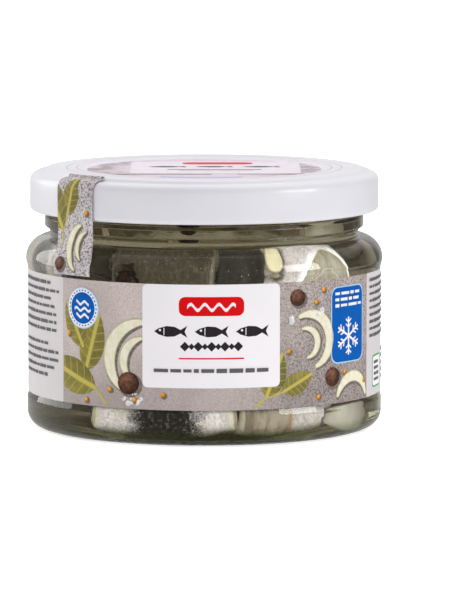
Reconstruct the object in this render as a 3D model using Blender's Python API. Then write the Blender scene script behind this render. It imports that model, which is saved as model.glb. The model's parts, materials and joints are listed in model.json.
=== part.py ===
# A shut glass jar of herring rolls in marinade.
# The jar has a white twist-off lid, a paper label round its body and a paper seal strip over the lid.
# Sizes are in millimetres and become metres where the meshes are made.
# The front of the jar faces -Y. Angles round the jar are measured from there towards +X.

import math
import random

import bpy
import bmesh
from mathutils import Matrix, Vector

MM = 0.001
SIDES = 48
FIT_GAP = 0.3

# Glass jar
BODY_RADIUS = 43.75
JAR_HEIGHT = 62.0
BASE_RADIUS = 43.4
HEEL_RADIUS = 4.0
RING_INNER = 34.0
RING_OUTER = 39.4
PUSH_UP = 1.2
BASE_BAND_TOP = 8.2
PANEL_RADIUS = 42.7
PANEL_BOTTOM = 8.6
PANEL_TOP = 39.2
PANEL_STEP = 0.6
SHOULDER_START = 41.1
SHOULDER_RADIUS = 5.7
SHOULDER_SWEEP = 84.0
GROOVE_RADIUS = 37.75
GROOVE_TOP = 48.5
BEAD_RADIUS = 39.0
BEAD_BOTTOM = 49.2
BEAD_TOP = 51.4
NECK_RADIUS = 38.2
LIP_ROUND = 0.8
INNER_RADIUS = 40.5
INNER_CORNER = 1.6
FLOOR_HEIGHT = 1.8
FLOOR_RISE = 1.0
INNER_SHOULDER_START = 40.6
INNER_SHOULDER_RADIUS = 4.0
NECK_INNER_RADIUS = 35.6

# Lid
LID_RADIUS = 42.65
LID_BOTTOM = 53.0
LID_TOP = 63.2
LID_SHELF = 62.4
LID_CORNER = 2.2
LID_STEP_RADIUS = 38.8
LID_SHEET = 0.5
LID_STEP_SLOPE = 0.7
PANEL_STEP_RADIUS = 30.0
CENTRE_PANEL = 62.7
CURL = 1.0
UNDER_SHIFT = 0.2

# Paper
PAPER = 0.2
LABEL_BOTTOM = 8.85
LABEL_TOP = 39.0
LABEL_GAP_STEPS = 2
STRIP_WIDTH = 12.3
STRIP_ANGLE = -46.4
STRIP_START = 39.9
STRIP_END_RADIUS = 39.0
STRIP_NECK_DIP = 0.15
STRIP_DIP_HEIGHT = 48.2
STRIP_COLUMNS = 4

# Herring rolls
ROLL_SEED = 11
ANGLE_DRIFT = 2.0
HEIGHT_DRIFT = 0.4
YAW_DRIFT = 5.0
TILT_DRIFT = 3.0
RADIUS_DRIFT = 0.03
LENGTH_DRIFT = 0.04
BAND = 3.0
BAND_GAP = 0.5
BAND_TURNS = 2
FLAP_TAPER = 0.16
FLAP_DROP = 2.2
CURL_CENTRE = 0.9
SPIRAL_STEPS = 14
SPIRAL_DEPTH = 2.0
END_ROUNDING = 0.9
ROLL_END_SCALE = 0.92
WALL_SQUEEZE = 1.8
WALL_CLEARANCE = 0.35
CORE_RADIUS = 19.0
CORE_BOTTOM = 5.0
CORE_TOP = 36.0
CORE_SIDES = 16
# One more roll stands upright behind the gap between the two front rolls of the upper layer.
UPRIGHT_ROLL = {"angle": 15.0, "from_axis": 26.5, "radius": 9.0, "length": 36.0, "height": 26.0}
# The turned roll shows its end to the glass. A layer fills the jar's lower or upper corner.
# The third layer is two more rolls at the back of the lower one.
LAYERS = (
    {"angles": (-16, 30, 66, 118, 300), "turned": None, "heights": (13.5, 12.5, 18.4, 13.5, 18.0),
     "lengths": (36.0, 24.5, 26.0, 37.4, 26.0), "corner": -1, "fill": 8.0, "from_axis": 28.0, "radius": 11.7},
    {"angles": (-16, 46, 105, 165, 225, 285), "turned": 1, "heights": (35.1, 35.5, 33.5, 31.5, 31.5, 34.5),
     "lengths": (24.5, 29.0, 29.0, 29.0, 29.0, 29.0), "corner": 1, "fill": 6.0, "from_axis": 28.0, "radius": 11.4},
    {"angles": (172, 232), "turned": None, "heights": (13.5, 13.5),
     "lengths": (37.4, 37.4), "corner": -1, "fill": 8.0, "from_axis": 28.0, "radius": 11.7},
)

# Onion and allspice that show between the rolls and the glass
ONION_THICKNESS = 1.6
ONION_PIECES = (
    {"angle": 26.0, "from_axis": 35.9, "height": 42.4, "lean": 38.0, "wide": 4.0, "tall": 4.2},
    {"angle": 58.0, "from_axis": 32.6, "height": 49.9, "lean": 6.0, "wide": 15.0, "tall": 4.6},
    {"angle": 59.0, "from_axis": 38.9, "height": 4.8, "lean": 0.0, "wide": 18.0, "tall": 4.6},
)
ONION_CURVE = 13.0
ONION_ROWS = 6
ONION_COLUMNS = (-1.0, -0.35, 0.35, 1.0)
ONION_ROUNDNESS = 1.0
DENT_GAP = 0.4
BERRY_RADIUS = 2.8
BERRIES = (
    {"angle": -28.5, "from_axis": 37.2, "height": 38.6},
    {"angle": -6.5, "from_axis": 32.2, "height": 52.5},
)


def clear_scene():
    for item in list(bpy.data.objects):
        bpy.data.objects.remove(item, do_unlink=True)


def make_material(name, colour, roughness, metallic=0.0, see_through=0.0):
    material = bpy.data.materials.new(name)
    material.use_nodes = True
    shader = material.node_tree.nodes["Principled BSDF"]
    shader.inputs["Base Color"].default_value = (*colour, 1.0)
    shader.inputs["Roughness"].default_value = roughness
    shader.inputs["Metallic"].default_value = metallic
    shader.inputs["Transmission Weight"].default_value = see_through
    return material


def add_object(name, shape, material):
    bmesh.ops.recalc_face_normals(shape, faces=shape.faces)
    mesh = bpy.data.meshes.new(name)
    shape.to_mesh(mesh)
    shape.free()
    mesh.materials.append(material)
    mesh.shade_smooth()
    mesh.set_sharp_from_angle(angle=math.radians(35))
    made = bpy.data.objects.new(name, mesh)
    bpy.context.scene.collection.objects.link(made)
    return made


def round_jar(angle, radius, height):
    turn = math.radians(angle)
    return Vector((radius * math.sin(turn), -radius * math.cos(turn), height))


def arc(centre_radius, centre_height, radius, start, end, steps):
    # Points of an arc in the (radius, height) plane, at equal steps from start to end in degrees.
    points = []
    for step in range(steps + 1):
        turn = math.radians(start + (end - start) * step / steps)
        points.append((centre_radius + radius * math.cos(turn), centre_height + radius * math.sin(turn)))
    return points


def turned(profile, steps=SIDES, angle=360.0, start=0.0):
    # A closed (radius, height) profile turned about Z, with flat ends where it isn't a full turn.
    shape = bmesh.new()
    corners = [shape.verts.new(round_jar(start, radius, height) * MM) for radius, height in profile]
    edges = [shape.edges.new(pair) for pair in zip(corners, corners[1:] + corners[:1])]
    full = angle >= 360.0
    bmesh.ops.spin(
        shape, geom=corners + edges, cent=(0, 0, 0), axis=(0, 0, 1),
        angle=math.radians(angle), steps=steps, use_merge=full)
    bmesh.ops.remove_doubles(shape, verts=shape.verts, dist=0.000001)
    bmesh.ops.dissolve_degenerate(shape, edges=shape.edges, dist=0.000001)
    loose = [edge for edge in shape.edges if not edge.link_faces]
    bmesh.ops.delete(shape, geom=loose, context="EDGES")
    if not full:
        bmesh.ops.holes_fill(shape, edges=[edge for edge in shape.edges if edge.is_boundary])
    return shape


# Glass jar

def jar_outside():
    profile = [(0.0, PUSH_UP), (RING_INNER - 1.0, PUSH_UP * 0.5), (RING_INNER, 0.0), (RING_OUTER, 0.0)]
    profile += arc(RING_OUTER, HEEL_RADIUS, HEEL_RADIUS, -60, 0, 3)
    profile += [(BASE_RADIUS, BASE_BAND_TOP), (PANEL_RADIUS, PANEL_BOTTOM), (PANEL_RADIUS, PANEL_TOP)]
    profile += [(BASE_RADIUS, PANEL_TOP + PANEL_STEP)]
    profile += arc(BODY_RADIUS - SHOULDER_RADIUS, SHOULDER_START, SHOULDER_RADIUS, 0, SHOULDER_SWEEP, 4)
    groove_bottom = SHOULDER_START + SHOULDER_RADIUS + LIP_ROUND / 2
    profile += [(GROOVE_RADIUS, groove_bottom), (GROOVE_RADIUS, GROOVE_TOP)]
    profile += [(BEAD_RADIUS, BEAD_BOTTOM), (BEAD_RADIUS, BEAD_TOP), (NECK_RADIUS, BEAD_TOP + LIP_ROUND)]
    profile += [(NECK_RADIUS, JAR_HEIGHT - LIP_ROUND), (NECK_RADIUS - LIP_ROUND, JAR_HEIGHT)]
    return profile


def jar_inside():
    shoulder = INNER_RADIUS - INNER_SHOULDER_RADIUS
    corner = INNER_RADIUS - INNER_CORNER
    profile = [(NECK_INNER_RADIUS + LIP_ROUND, JAR_HEIGHT), (NECK_INNER_RADIUS, JAR_HEIGHT - LIP_ROUND)]
    profile += [(NECK_INNER_RADIUS, INNER_SHOULDER_START + INNER_SHOULDER_RADIUS + LIP_ROUND)]
    profile += arc(shoulder, INNER_SHOULDER_START, INNER_SHOULDER_RADIUS, 80, 0, 3)
    profile += arc(corner, FLOOR_HEIGHT + INNER_CORNER, INNER_CORNER, 0, -90, 3)
    profile += [(0.0, FLOOR_HEIGHT + FLOOR_RISE)]
    return profile


def make_jar():
    glass = make_material("jar_glass", (0.86, 0.90, 0.87), 0.03, see_through=1.0)
    return add_object("glass_jar", turned(jar_outside() + jar_inside()), glass)


def cavity_radius(height):
    # The radius of the jar's inner wall at a height.
    corner_top = FLOOR_HEIGHT + INNER_CORNER
    if height < corner_top:
        drop = min(corner_top - height, INNER_CORNER)
        return INNER_RADIUS - INNER_CORNER + math.sqrt(INNER_CORNER ** 2 - drop ** 2)
    if height > INNER_SHOULDER_START:
        rise = min(height - INNER_SHOULDER_START, INNER_SHOULDER_RADIUS)
        curve = INNER_RADIUS - INNER_SHOULDER_RADIUS + math.sqrt(INNER_SHOULDER_RADIUS ** 2 - rise ** 2)
        return max(curve, NECK_INNER_RADIUS)
    return INNER_RADIUS


# Lid

def lid_profile():
    step_inner = PANEL_STEP_RADIUS - LID_STEP_SLOPE
    corner = LID_RADIUS - LID_CORNER
    inside = LID_RADIUS - LID_SHEET
    outer = [(inside - UNDER_SHIFT, LID_BOTTOM), (LID_RADIUS, LID_BOTTOM + CURL)]
    outer += arc(corner, LID_SHELF - LID_CORNER, LID_CORNER, 0, 90, 4)
    outer += [(LID_STEP_RADIUS + LID_STEP_SLOPE, LID_SHELF), (LID_STEP_RADIUS, LID_TOP)]
    outer += [(PANEL_STEP_RADIUS, LID_TOP), (step_inner, CENTRE_PANEL), (0.0, CENTRE_PANEL)]
    under = [(0.0, CENTRE_PANEL - LID_SHEET), (step_inner - UNDER_SHIFT, CENTRE_PANEL - LID_SHEET)]
    under += [(PANEL_STEP_RADIUS - UNDER_SHIFT, LID_TOP - LID_SHEET)]
    under += [(LID_STEP_RADIUS - UNDER_SHIFT, LID_TOP - LID_SHEET)]
    under += [(LID_STEP_RADIUS + UNDER_SHIFT, LID_SHELF - LID_SHEET)]
    under += arc(corner, LID_SHELF - LID_CORNER, LID_CORNER - LID_SHEET, 90, 0, 2)
    under += [(inside, LID_BOTTOM + CURL), (inside - CURL, LID_BOTTOM + CURL / 2)]
    return outer + under


def make_lid():
    paint = make_material("lid_white", (0.86, 0.86, 0.88), 0.35)
    return add_object("twist_lid", turned(lid_profile()), paint)


# Paper label and seal strip

def make_label():
    inner = PANEL_RADIUS + FIT_GAP
    outer = inner + PAPER
    profile = [(inner, LABEL_BOTTOM), (outer, LABEL_BOTTOM), (outer, LABEL_TOP), (inner, LABEL_TOP)]
    step = 360.0 / SIDES
    wrapped = SIDES - LABEL_GAP_STEPS
    start = -180.0 + step * LABEL_GAP_STEPS / 2
    paper = make_material("label_paper", (0.62, 0.57, 0.56), 0.5)
    return add_object("label", turned(profile, wrapped, step * wrapped, start), paper)


def strip_path(offset):
    # The strip lies on the shoulder, spans the neck and folds over the lid, offset outwards from them.
    shoulder = BODY_RADIUS - SHOULDER_RADIUS
    path = [(BODY_RADIUS + offset, STRIP_START)]
    path += arc(shoulder, SHOULDER_START, SHOULDER_RADIUS + offset, 0, 24, 2)
    path += [(LID_RADIUS - STRIP_NECK_DIP + offset, STRIP_DIP_HEIGHT)]
    path += [(LID_RADIUS + offset, LID_BOTTOM + CURL)]
    path += arc(LID_RADIUS - LID_CORNER, LID_SHELF - LID_CORNER, LID_CORNER + offset, 0, 90, 4)
    path += [(LID_STEP_RADIUS + LID_STEP_SLOPE, LID_SHELF + offset), (STRIP_END_RADIUS, LID_TOP + offset)]
    return path


def make_strip():
    shape = bmesh.new()
    columns = [STRIP_WIDTH * (column / STRIP_COLUMNS - 0.5) for column in range(STRIP_COLUMNS + 1)]

    def row(station, order):
        radius, height = station
        angles = [STRIP_ANGLE + math.degrees(across / radius) for across in order]
        return [shape.verts.new(round_jar(angle, radius, height) * MM) for angle in angles]

    stations = zip(strip_path(FIT_GAP), strip_path(FIT_GAP + PAPER))
    rings = [row(near, columns) + row(far, columns[::-1]) for near, far in stations]
    for lower, upper in zip(rings, rings[1:]):
        for index in range(len(lower)):
            follow = (index + 1) % len(lower)
            shape.faces.new((lower[index], lower[follow], upper[follow], upper[index]))
    bmesh.ops.holes_fill(shape, edges=[edge for edge in shape.edges if edge.is_boundary])
    bmesh.ops.triangulate(shape, faces=shape.faces)
    return add_object("seal_strip", shape, make_material("strip_paper", (0.60, 0.55, 0.54), 0.5))


# Herring rolls

def soft_limit(value, start, limit):
    # Leaves a value below start alone and eases a larger one so that it stays under the limit.
    if value <= start:
        return value
    room = limit - start
    reach = (value - start) / room
    return start + room * reach / (1.0 + reach ** 4) ** 0.25


def press_into_jar(point):
    # Rolls are soft, so the wall and the floor press them flat.
    across = math.hypot(point.x, point.y)
    low = FLOOR_HEIGHT + FLOOR_RISE * max(0.0, 1.0 - across / INNER_RADIUS) + WALL_SQUEEZE
    point.z = low - soft_limit(low - point.z, 0.0, WALL_SQUEEZE - WALL_CLEARANCE)
    wall = cavity_radius(point.z) - WALL_CLEARANCE
    if across > wall - WALL_SQUEEZE:
        scale = soft_limit(across, wall - WALL_SQUEEZE, wall) / across
        point.x *= scale
        point.y *= scale


def spiral_radius(radius, step, into_band):
    # The fillet winds inwards from its flap. into_band runs from 0 on its outer side to 1 on its inner side.
    turns = step / SPIRAL_STEPS
    flap = max(0.0, 1.0 - turns / FLAP_TAPER) * FLAP_DROP
    return max(radius - (BAND + BAND_GAP) * turns - BAND * into_band - flap, CURL_CENTRE)


def roll_shape(radius, length):
    # One rolled fillet along X: a barrel with a step at its flap and a spiral ridge on both ends.
    shape = bmesh.new()
    last = SPIRAL_STEPS * BAND_TURNS

    def line(along, scale, steps, into_band):
        points = []
        for step in steps:
            angle = 2.0 * math.pi * step / SPIRAL_STEPS
            across = spiral_radius(radius, step, into_band) * scale
            points.append(shape.verts.new((along, across * math.cos(angle), across * math.sin(angle))))
        return points

    half = length / 2
    rim = half - END_ROUNDING
    stations = [(-rim, ROLL_END_SCALE), (-half / 2, 1.0), (half / 2, 1.0), (rim, ROLL_END_SCALE)]
    rims = [line(along, scale, range(SPIRAL_STEPS + 1), 0.0) for along, scale in stations]
    for near, far in zip(rims, rims[1:]):
        for index in range(len(near)):
            follow = (index + 1) % len(near)
            shape.faces.new((near[index], near[follow], far[follow], far[index]))
    for end, side in ((rims[0], -1), (rims[-1], 1)):
        groove = side * (half - SPIRAL_DEPTH)
        edge = end + line(groove, ROLL_END_SCALE, range(SPIRAL_STEPS + 1, last + 1), 0.0)
        ridge = line(side * half, ROLL_END_SCALE, range(last + 1), 0.5)
        for step in range(last):
            shape.faces.new((edge[step], edge[step + 1], ridge[step + 1], ridge[step]))
        for step in range(last - SPIRAL_STEPS):
            inner = step + SPIRAL_STEPS
            shape.faces.new((ridge[step], ridge[step + 1], edge[inner + 1], edge[inner]))
        shape.faces.new((edge[0], ridge[0], edge[SPIRAL_STEPS]))
        middle = shape.faces.new(ridge[last - SPIRAL_STEPS:] + [edge[last]])
        bmesh.ops.poke(shape, faces=[middle])
    bmesh.ops.triangulate(shape, faces=shape.faces)
    return shape


def fill_corner(point, corner, power):
    # The roll's outer lower or outer upper quarter gets squarer, as it is pressed into the jar's corner.
    if corner and point.y < 0.0 and point.z * corner > 0.0:
        across = math.hypot(point.y, point.z)
        square = (abs(point.y / across) ** power + abs(point.z / across) ** power) ** (-1.0 / power)
        point.y *= square
        point.z *= square
    return point


def add_roll(pieces, place, yaw, roll, corner, radius, length, material):
    shape = roll_shape(radius, length)
    for vertex in shape.verts:
        point = place + yaw @ fill_corner(roll @ vertex.co, *corner)
        press_into_jar(point)
        vertex.co = point * MM
    piece = add_object("roll_piece", shape, material)
    bpy.context.scene.collection.objects.unlink(piece)
    pieces.objects.link(piece)


def make_rolls():
    # Two rings of rolls lie round one that stands in the middle, and a smaller core joins them.
    rng = random.Random(ROLL_SEED)

    def drift(most):
        return rng.uniform(-most, most)

    pieces = bpy.data.collections.new("roll_pieces")
    flesh = make_material("herring", (0.60, 0.60, 0.55), 0.35)
    for layer in LAYERS:
        for number, angle in enumerate(layer["angles"]):
            turned_roll = number == layer["turned"]
            angle += drift(ANGLE_DRIFT)
            place = round_jar(angle, layer["from_axis"], layer["heights"][number] + drift(HEIGHT_DRIFT))
            quarter = 90.0 if turned_roll else 0.0
            yaw = Matrix.Rotation(math.radians(angle + quarter + drift(YAW_DRIFT)), 4, "Z")
            tilt = Matrix.Rotation(math.radians(drift(TILT_DRIFT)), 4, "Y")
            spin = Matrix.Rotation(math.radians(rng.uniform(0.0, 360.0)), 4, "X")
            radius = layer["radius"] * (1.0 + drift(RADIUS_DRIFT))
            length = layer["lengths"][number] * (1.0 + drift(LENGTH_DRIFT))
            corner = (0 if turned_roll else layer["corner"], layer["fill"])
            add_roll(pieces, place, yaw, tilt @ spin, corner, radius, length, flesh)
    upright = Matrix.Rotation(math.radians(-90.0), 4, "Y")
    place = round_jar(UPRIGHT_ROLL["angle"], UPRIGHT_ROLL["from_axis"], UPRIGHT_ROLL["height"])
    add_roll(pieces, place, upright, Matrix(), (0, 2.0), UPRIGHT_ROLL["radius"], UPRIGHT_ROLL["length"], flesh)
    outline = [(0.0, CORE_BOTTOM), (CORE_RADIUS, CORE_BOTTOM), (CORE_RADIUS, CORE_TOP), (0.0, CORE_TOP)]
    rolls = add_object("herring_rolls", turned(outline, CORE_SIDES), flesh)
    apply_boolean(rolls, pieces, "UNION")
    return rolls


def apply_boolean(target, pieces, operation):
    # Joins a collection's objects to the target, or cuts them from it, and then removes them.
    bpy.context.scene.collection.children.link(pieces)
    cut = target.modifiers.new("join", "BOOLEAN")
    cut.operand_type = "COLLECTION"
    cut.collection = pieces
    cut.operation = operation
    cut.solver = "EXACT"
    graph = bpy.context.evaluated_depsgraph_get()
    mesh = bpy.data.meshes.new_from_object(target.evaluated_get(graph))
    target.modifiers.remove(cut)
    target.data = keep_main_body(mesh)
    for piece in list(pieces.objects):
        bpy.data.objects.remove(piece, do_unlink=True)
    bpy.data.collections.remove(pieces)


def keep_main_body(mesh):
    # Fills sealed hollows and drops loose scraps: only the largest closed surface stays.
    shape = bmesh.new()
    shape.from_mesh(mesh)
    bmesh.ops.remove_doubles(shape, verts=shape.verts, dist=0.000001)
    bmesh.ops.dissolve_degenerate(shape, edges=shape.edges, dist=0.000001)
    left = set(shape.faces)
    bodies = []
    while left:
        body = set()
        front = [left.pop()]
        while front:
            face = front.pop()
            body.add(face)
            for edge in face.edges:
                for other in edge.link_faces:
                    if other in left:
                        left.remove(other)
                        front.append(other)
        bodies.append(body)
    main = max(bodies, key=len)
    scraps = [face for face in shape.faces if face not in main]
    bmesh.ops.delete(shape, geom=scraps, context="FACES")
    bmesh.ops.triangulate(shape, faces=shape.faces)
    shape.to_mesh(mesh)
    shape.free()
    return mesh


# Onion and allspice

def onion_point(side, east, north):
    # A point of a thick sphere whose front is at the origin.
    across = side * math.cos(north)
    return Vector((across * math.sin(east), ONION_CURVE - across * math.cos(east), side * math.sin(north)))


def onion_shape(piece, grow=0.0):
    # A piece of one onion layer: a patch of a thick sphere with a round outline.
    shape = bmesh.new()
    rings = []
    wide = (piece["wide"] / 2 + grow) / ONION_CURVE
    tall = (piece["tall"] / 2 + grow) / ONION_CURVE
    thick = ONION_THICKNESS / 2 + grow
    for row in range(1, ONION_ROWS):
        turn = math.pi * row / ONION_ROWS
        north = math.cos(turn) * tall
        reach = math.sin(turn) ** ONION_ROUNDNESS * wide
        outer = [onion_point(ONION_CURVE + thick, east * reach, north) for east in ONION_COLUMNS]
        inner = [onion_point(ONION_CURVE - thick, -east * reach, north) for east in ONION_COLUMNS]
        rings.append([shape.verts.new(point) for point in outer + inner])
    for upper, lower in zip(rings, rings[1:]):
        for index in range(len(upper)):
            follow = (index + 1) % len(upper)
            shape.faces.new((upper[index], upper[follow], lower[follow], lower[index]))
    shape.faces.new(rings[0])
    shape.faces.new(rings[-1])
    bmesh.ops.triangulate(shape, faces=shape.faces)
    place = round_jar(piece["angle"], piece["from_axis"], piece["height"])
    turn = Matrix.Rotation(math.radians(piece["angle"]), 4, "Z")
    lean = Matrix.Rotation(math.radians(-piece["lean"]), 4, "X")
    for vertex in shape.verts:
        vertex.co = (place + turn @ lean @ vertex.co) * MM
    return shape


def berry_shape(berry, grow=0.0):
    shape = bmesh.new()
    place = round_jar(berry["angle"], berry["from_axis"], berry["height"]) * MM
    radius = (BERRY_RADIUS + grow) * MM
    bmesh.ops.create_icosphere(shape, subdivisions=2, radius=radius, matrix=Matrix.Translation(place))
    return shape


def make_spices(rolls):
    # Each piece presses its own dent into the rolls behind it.
    onion = make_material("onion", (0.80, 0.78, 0.62), 0.35)
    spice = make_material("allspice", (0.10, 0.055, 0.04), 0.6)
    dents = bpy.data.collections.new("dents")
    kinds = (("onion_piece", ONION_PIECES, onion_shape, onion), ("allspice", BERRIES, berry_shape, spice))
    for name, places, shape_of, material in kinds:
        for number, place in enumerate(places, start=1):
            add_object(f"{name}_{number}", shape_of(place), material)
            dent = add_object("dent", shape_of(place, DENT_GAP), material)
            bpy.context.scene.collection.objects.unlink(dent)
            dents.objects.link(dent)
    apply_boolean(rolls, dents, "DIFFERENCE")


clear_scene()
make_jar()
make_lid()
make_label()
make_strip()
make_spices(make_rolls())
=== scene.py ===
import json
import math
import random

import bpy
import bmesh
from mathutils import Matrix, Vector, noise

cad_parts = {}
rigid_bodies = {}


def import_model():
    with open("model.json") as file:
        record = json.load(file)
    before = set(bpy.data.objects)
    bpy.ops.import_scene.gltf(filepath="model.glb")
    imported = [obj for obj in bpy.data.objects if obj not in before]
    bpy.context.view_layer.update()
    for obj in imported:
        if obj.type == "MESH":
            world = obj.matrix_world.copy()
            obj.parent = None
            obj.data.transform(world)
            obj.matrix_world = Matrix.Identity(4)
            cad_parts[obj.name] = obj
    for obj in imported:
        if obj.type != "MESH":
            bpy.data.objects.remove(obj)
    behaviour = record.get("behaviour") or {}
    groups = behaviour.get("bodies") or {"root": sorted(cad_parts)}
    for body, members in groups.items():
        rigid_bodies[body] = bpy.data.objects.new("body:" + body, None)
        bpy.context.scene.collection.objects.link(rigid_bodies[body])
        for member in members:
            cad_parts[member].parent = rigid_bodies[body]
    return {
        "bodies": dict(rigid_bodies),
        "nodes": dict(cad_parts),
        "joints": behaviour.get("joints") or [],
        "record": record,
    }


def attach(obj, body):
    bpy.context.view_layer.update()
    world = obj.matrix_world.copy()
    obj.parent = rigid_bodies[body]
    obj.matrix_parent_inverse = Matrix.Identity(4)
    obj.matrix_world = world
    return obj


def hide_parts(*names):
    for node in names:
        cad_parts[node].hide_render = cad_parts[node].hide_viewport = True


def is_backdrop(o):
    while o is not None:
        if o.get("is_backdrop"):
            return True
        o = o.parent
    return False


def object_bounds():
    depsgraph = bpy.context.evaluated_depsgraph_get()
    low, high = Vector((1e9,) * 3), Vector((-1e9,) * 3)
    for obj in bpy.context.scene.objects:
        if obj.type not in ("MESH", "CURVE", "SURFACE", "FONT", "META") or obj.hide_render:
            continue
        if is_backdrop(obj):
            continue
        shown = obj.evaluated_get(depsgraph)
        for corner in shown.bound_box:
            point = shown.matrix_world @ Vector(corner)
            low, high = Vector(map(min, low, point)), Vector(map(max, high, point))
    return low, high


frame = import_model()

# The looks of a shut glass jar of herring rolls in marinade.
# Lengths are in millimetres, apart from those of the camera, the lamps and the floor, which are in metres.
# The front faces -Y. Angles are in degrees from the front towards +X.

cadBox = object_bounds()
mm = 0.001
insideThings = bpy.data.collections.new("insideThings")
# The noise of the shapes starts from here, so that every run gives the same ones
noise.seed_set(1)


# Shader nodes

def plug(node, socket, value):
    # A number, a colour or another node's output goes into a socket.
    target = node.inputs[socket]
    if isinstance(value, bpy.types.NodeSocket):
        node.id_data.links.new(value, target)
    elif target.type == "RGBA" and len(value) == 3:
        target.default_value = (*value, 1.0)
    else:
        target.default_value = value


def addNode(tree, kind, inputs=None, **settings):
    # Inputs go by socket name or number, settings by the node's own property names.
    node = tree.nodes.new(kind)
    for name, value in settings.items():
        setattr(node, name, value)
    for socket, value in (inputs or {}).items():
        plug(node, socket, value)
    return node


def treeOf(*values):
    # The tree of the first value that is a node's output.
    return next(value.id_data for value in values if isinstance(value, bpy.types.NodeSocket))


def maths(operation, first, second=0.0, third=0.0):
    inputs = {0: first, 1: second, 2: third}
    return addNode(treeOf(first, second), "ShaderNodeMath", inputs, operation=operation).outputs[0]


def times(first, second):
    return maths("MULTIPLY", first, second)


def ramp(value, low, high, outLow=0.0, outHigh=1.0):
    # A smooth step from outLow at low to outHigh at high.
    inputs = dict(enumerate((value, low, high, outLow, outHigh)))
    return addNode(value.id_data, "ShaderNodeMapRange", inputs, interpolation_type="SMOOTHSTEP").outputs[0]


def blend(share, first, second, mode="MIX"):
    inputs = {0: share, 6: first, 7: second}
    tree = treeOf(share, first, second)
    return addNode(tree, "ShaderNodeMix", inputs, data_type="RGBA", blend_type=mode).outputs[2]


def tinted(colour, tint):
    return blend(1.0, colour, tint, "MULTIPLY")


def grain(vector, size, detail=2.0, roughness=0.5):
    # Cloudy noise whose features are about size millimetres wide.
    inputs = {"Vector": vector, "Scale": 1.0 / size, "Detail": detail, "Roughness": roughness}
    return addNode(vector.id_data, "ShaderNodeTexNoise", inputs).outputs["Fac"]


def clouds(vector, size, detail, roughness, *levels):
    # The noise rises between the first two levels, from the third to the fourth if these are given.
    return ramp(grain(vector, size, detail, roughness), *levels)


def cells(vector, size, output="Distance", feature="F1"):
    inputs = {"Vector": vector, "Scale": 1.0 / size}
    return addNode(vector.id_data, "ShaderNodeTexVoronoi", inputs, feature=feature).outputs[output]


def stretch(vector, scale):
    return addNode(vector.id_data, "ShaderNodeMapping", {"Vector": vector, "Scale": scale}).outputs[0]


def inMillimetres(tree):
    return stretch(addNode(tree, "ShaderNodeTexCoord").outputs["Object"], (1000.0, 1000.0, 1000.0))


def split(vector):
    return addNode(vector.id_data, "ShaderNodeSeparateXYZ", {0: vector}).outputs


def vectorMaths(operation, vector, other=(0.0, 0.0, 0.0)):
    return addNode(vector.id_data, "ShaderNodeVectorMath", {0: vector, 1: other}, operation=operation).outputs


def attribute(tree, name, output="Vector"):
    return addNode(tree, "ShaderNodeAttribute", attribute_name=name).outputs[output]


def bump(shader, height, depth, strength=1.0):
    # Depth is in millimetres.
    inputs = {"Strength": strength, "Distance": depth * mm, "Height": height}
    plug(shader, "Normal", addNode(shader.id_data, "ShaderNodeBump", inputs).outputs[0])


def setLook(shader, **values):
    # The values are for the Principled shader, with a word per socket.
    sockets = {
        "colour": "Base Color", "roughness": "Roughness", "metallic": "Metallic", "ior": "IOR",
        "transmission": "Transmission Weight", "coat": "Coat Weight", "coatRoughness": "Coat Roughness",
        "specular": "Specular IOR Level", "mirrorTint": "Specular Tint", "glow": "Emission Color",
        "glowStrength": "Emission Strength", "subsurface": "Subsurface Weight",
        "subsurfaceRadius": "Subsurface Radius", "subsurfaceScale": "Subsurface Scale",
    }
    for word, value in values.items():
        plug(shader, sockets[word], value)


def newMaterial(name, **values):
    material = bpy.data.materials.new(name)
    material.use_nodes = True
    shader = material.node_tree.nodes["Principled BSDF"]
    setLook(shader, **values)
    return material, material.node_tree, shader


# Shapes that every piece uses

def aroundJar(angle, radius, height):
    # A point in metres from an angle in degrees and lengths in millimetres.
    turn = math.radians(angle)
    return Vector((radius * math.sin(turn), -radius * math.cos(turn), height)) * mm


def pieceSpot(piece):
    return aroundJar(piece["angle"], piece["fromAxis"], piece["height"]) / mm


def onCircle(degrees, radius):
    return Vector((math.cos(math.radians(degrees)), math.sin(math.radians(degrees)))) * radius


def roundCorners(corners, steps=5, closed=False):
    # Corners are (across, up, rounding). A corner with a rounding becomes a short arc.
    path = []
    last = len(corners) - 1
    for index, (across, up, rounding) in enumerate(corners):
        here = Vector((across, up))
        if not rounding or (not closed and index in (0, last)):
            path.append(here)
            continue
        before = (Vector(corners[index - 1][:2]) - here).normalized()
        after = (Vector(corners[(index + 1) % len(corners)][:2]) - here).normalized()
        half = before.angle(after) / 2
        reach = rounding / math.tan(half)
        centre = here + (before + after).normalized() * rounding / math.sin(half)
        start = here + before * reach - centre
        turn = start.angle_signed(here + after * reach - centre)
        for step in range(steps + 1):
            path.append(centre + Matrix.Rotation(-turn * step / steps, 2) @ start)
    return path


def spacedOut(path, most):
    # Adds points so that no straight stretch is longer than most.
    points = [path[0]]
    for near, far in zip(path, path[1:]):
        parts = max(1, math.ceil((far - near).length / most))
        points += [near.lerp(far, part / parts) for part in range(1, parts + 1)]
    return points


def ringFaces(rings):
    # Faces between neighbours in a list of closed rings of point numbers.
    faces = []
    for near, far in zip(rings, rings[1:]):
        for index in range(len(near)):
            follow = (index + 1) % len(near)
            corners = tuple(dict.fromkeys((near[index], near[follow], far[follow], far[index])))
            if len(corners) > 2:
                faces.append(corners)
    return faces


def finishShape(name, shape, material, sharpAngle=40.0):
    bmesh.ops.recalc_face_normals(shape, faces=shape.faces)
    mesh = bpy.data.meshes.new(name)
    shape.to_mesh(mesh)
    shape.free()
    mesh.materials.append(material)
    mesh.shade_smooth()
    mesh.set_sharp_from_angle(angle=math.radians(sharpAngle))
    piece = bpy.data.objects.new(name, mesh)
    bpy.context.scene.collection.objects.link(piece)
    return piece


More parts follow.
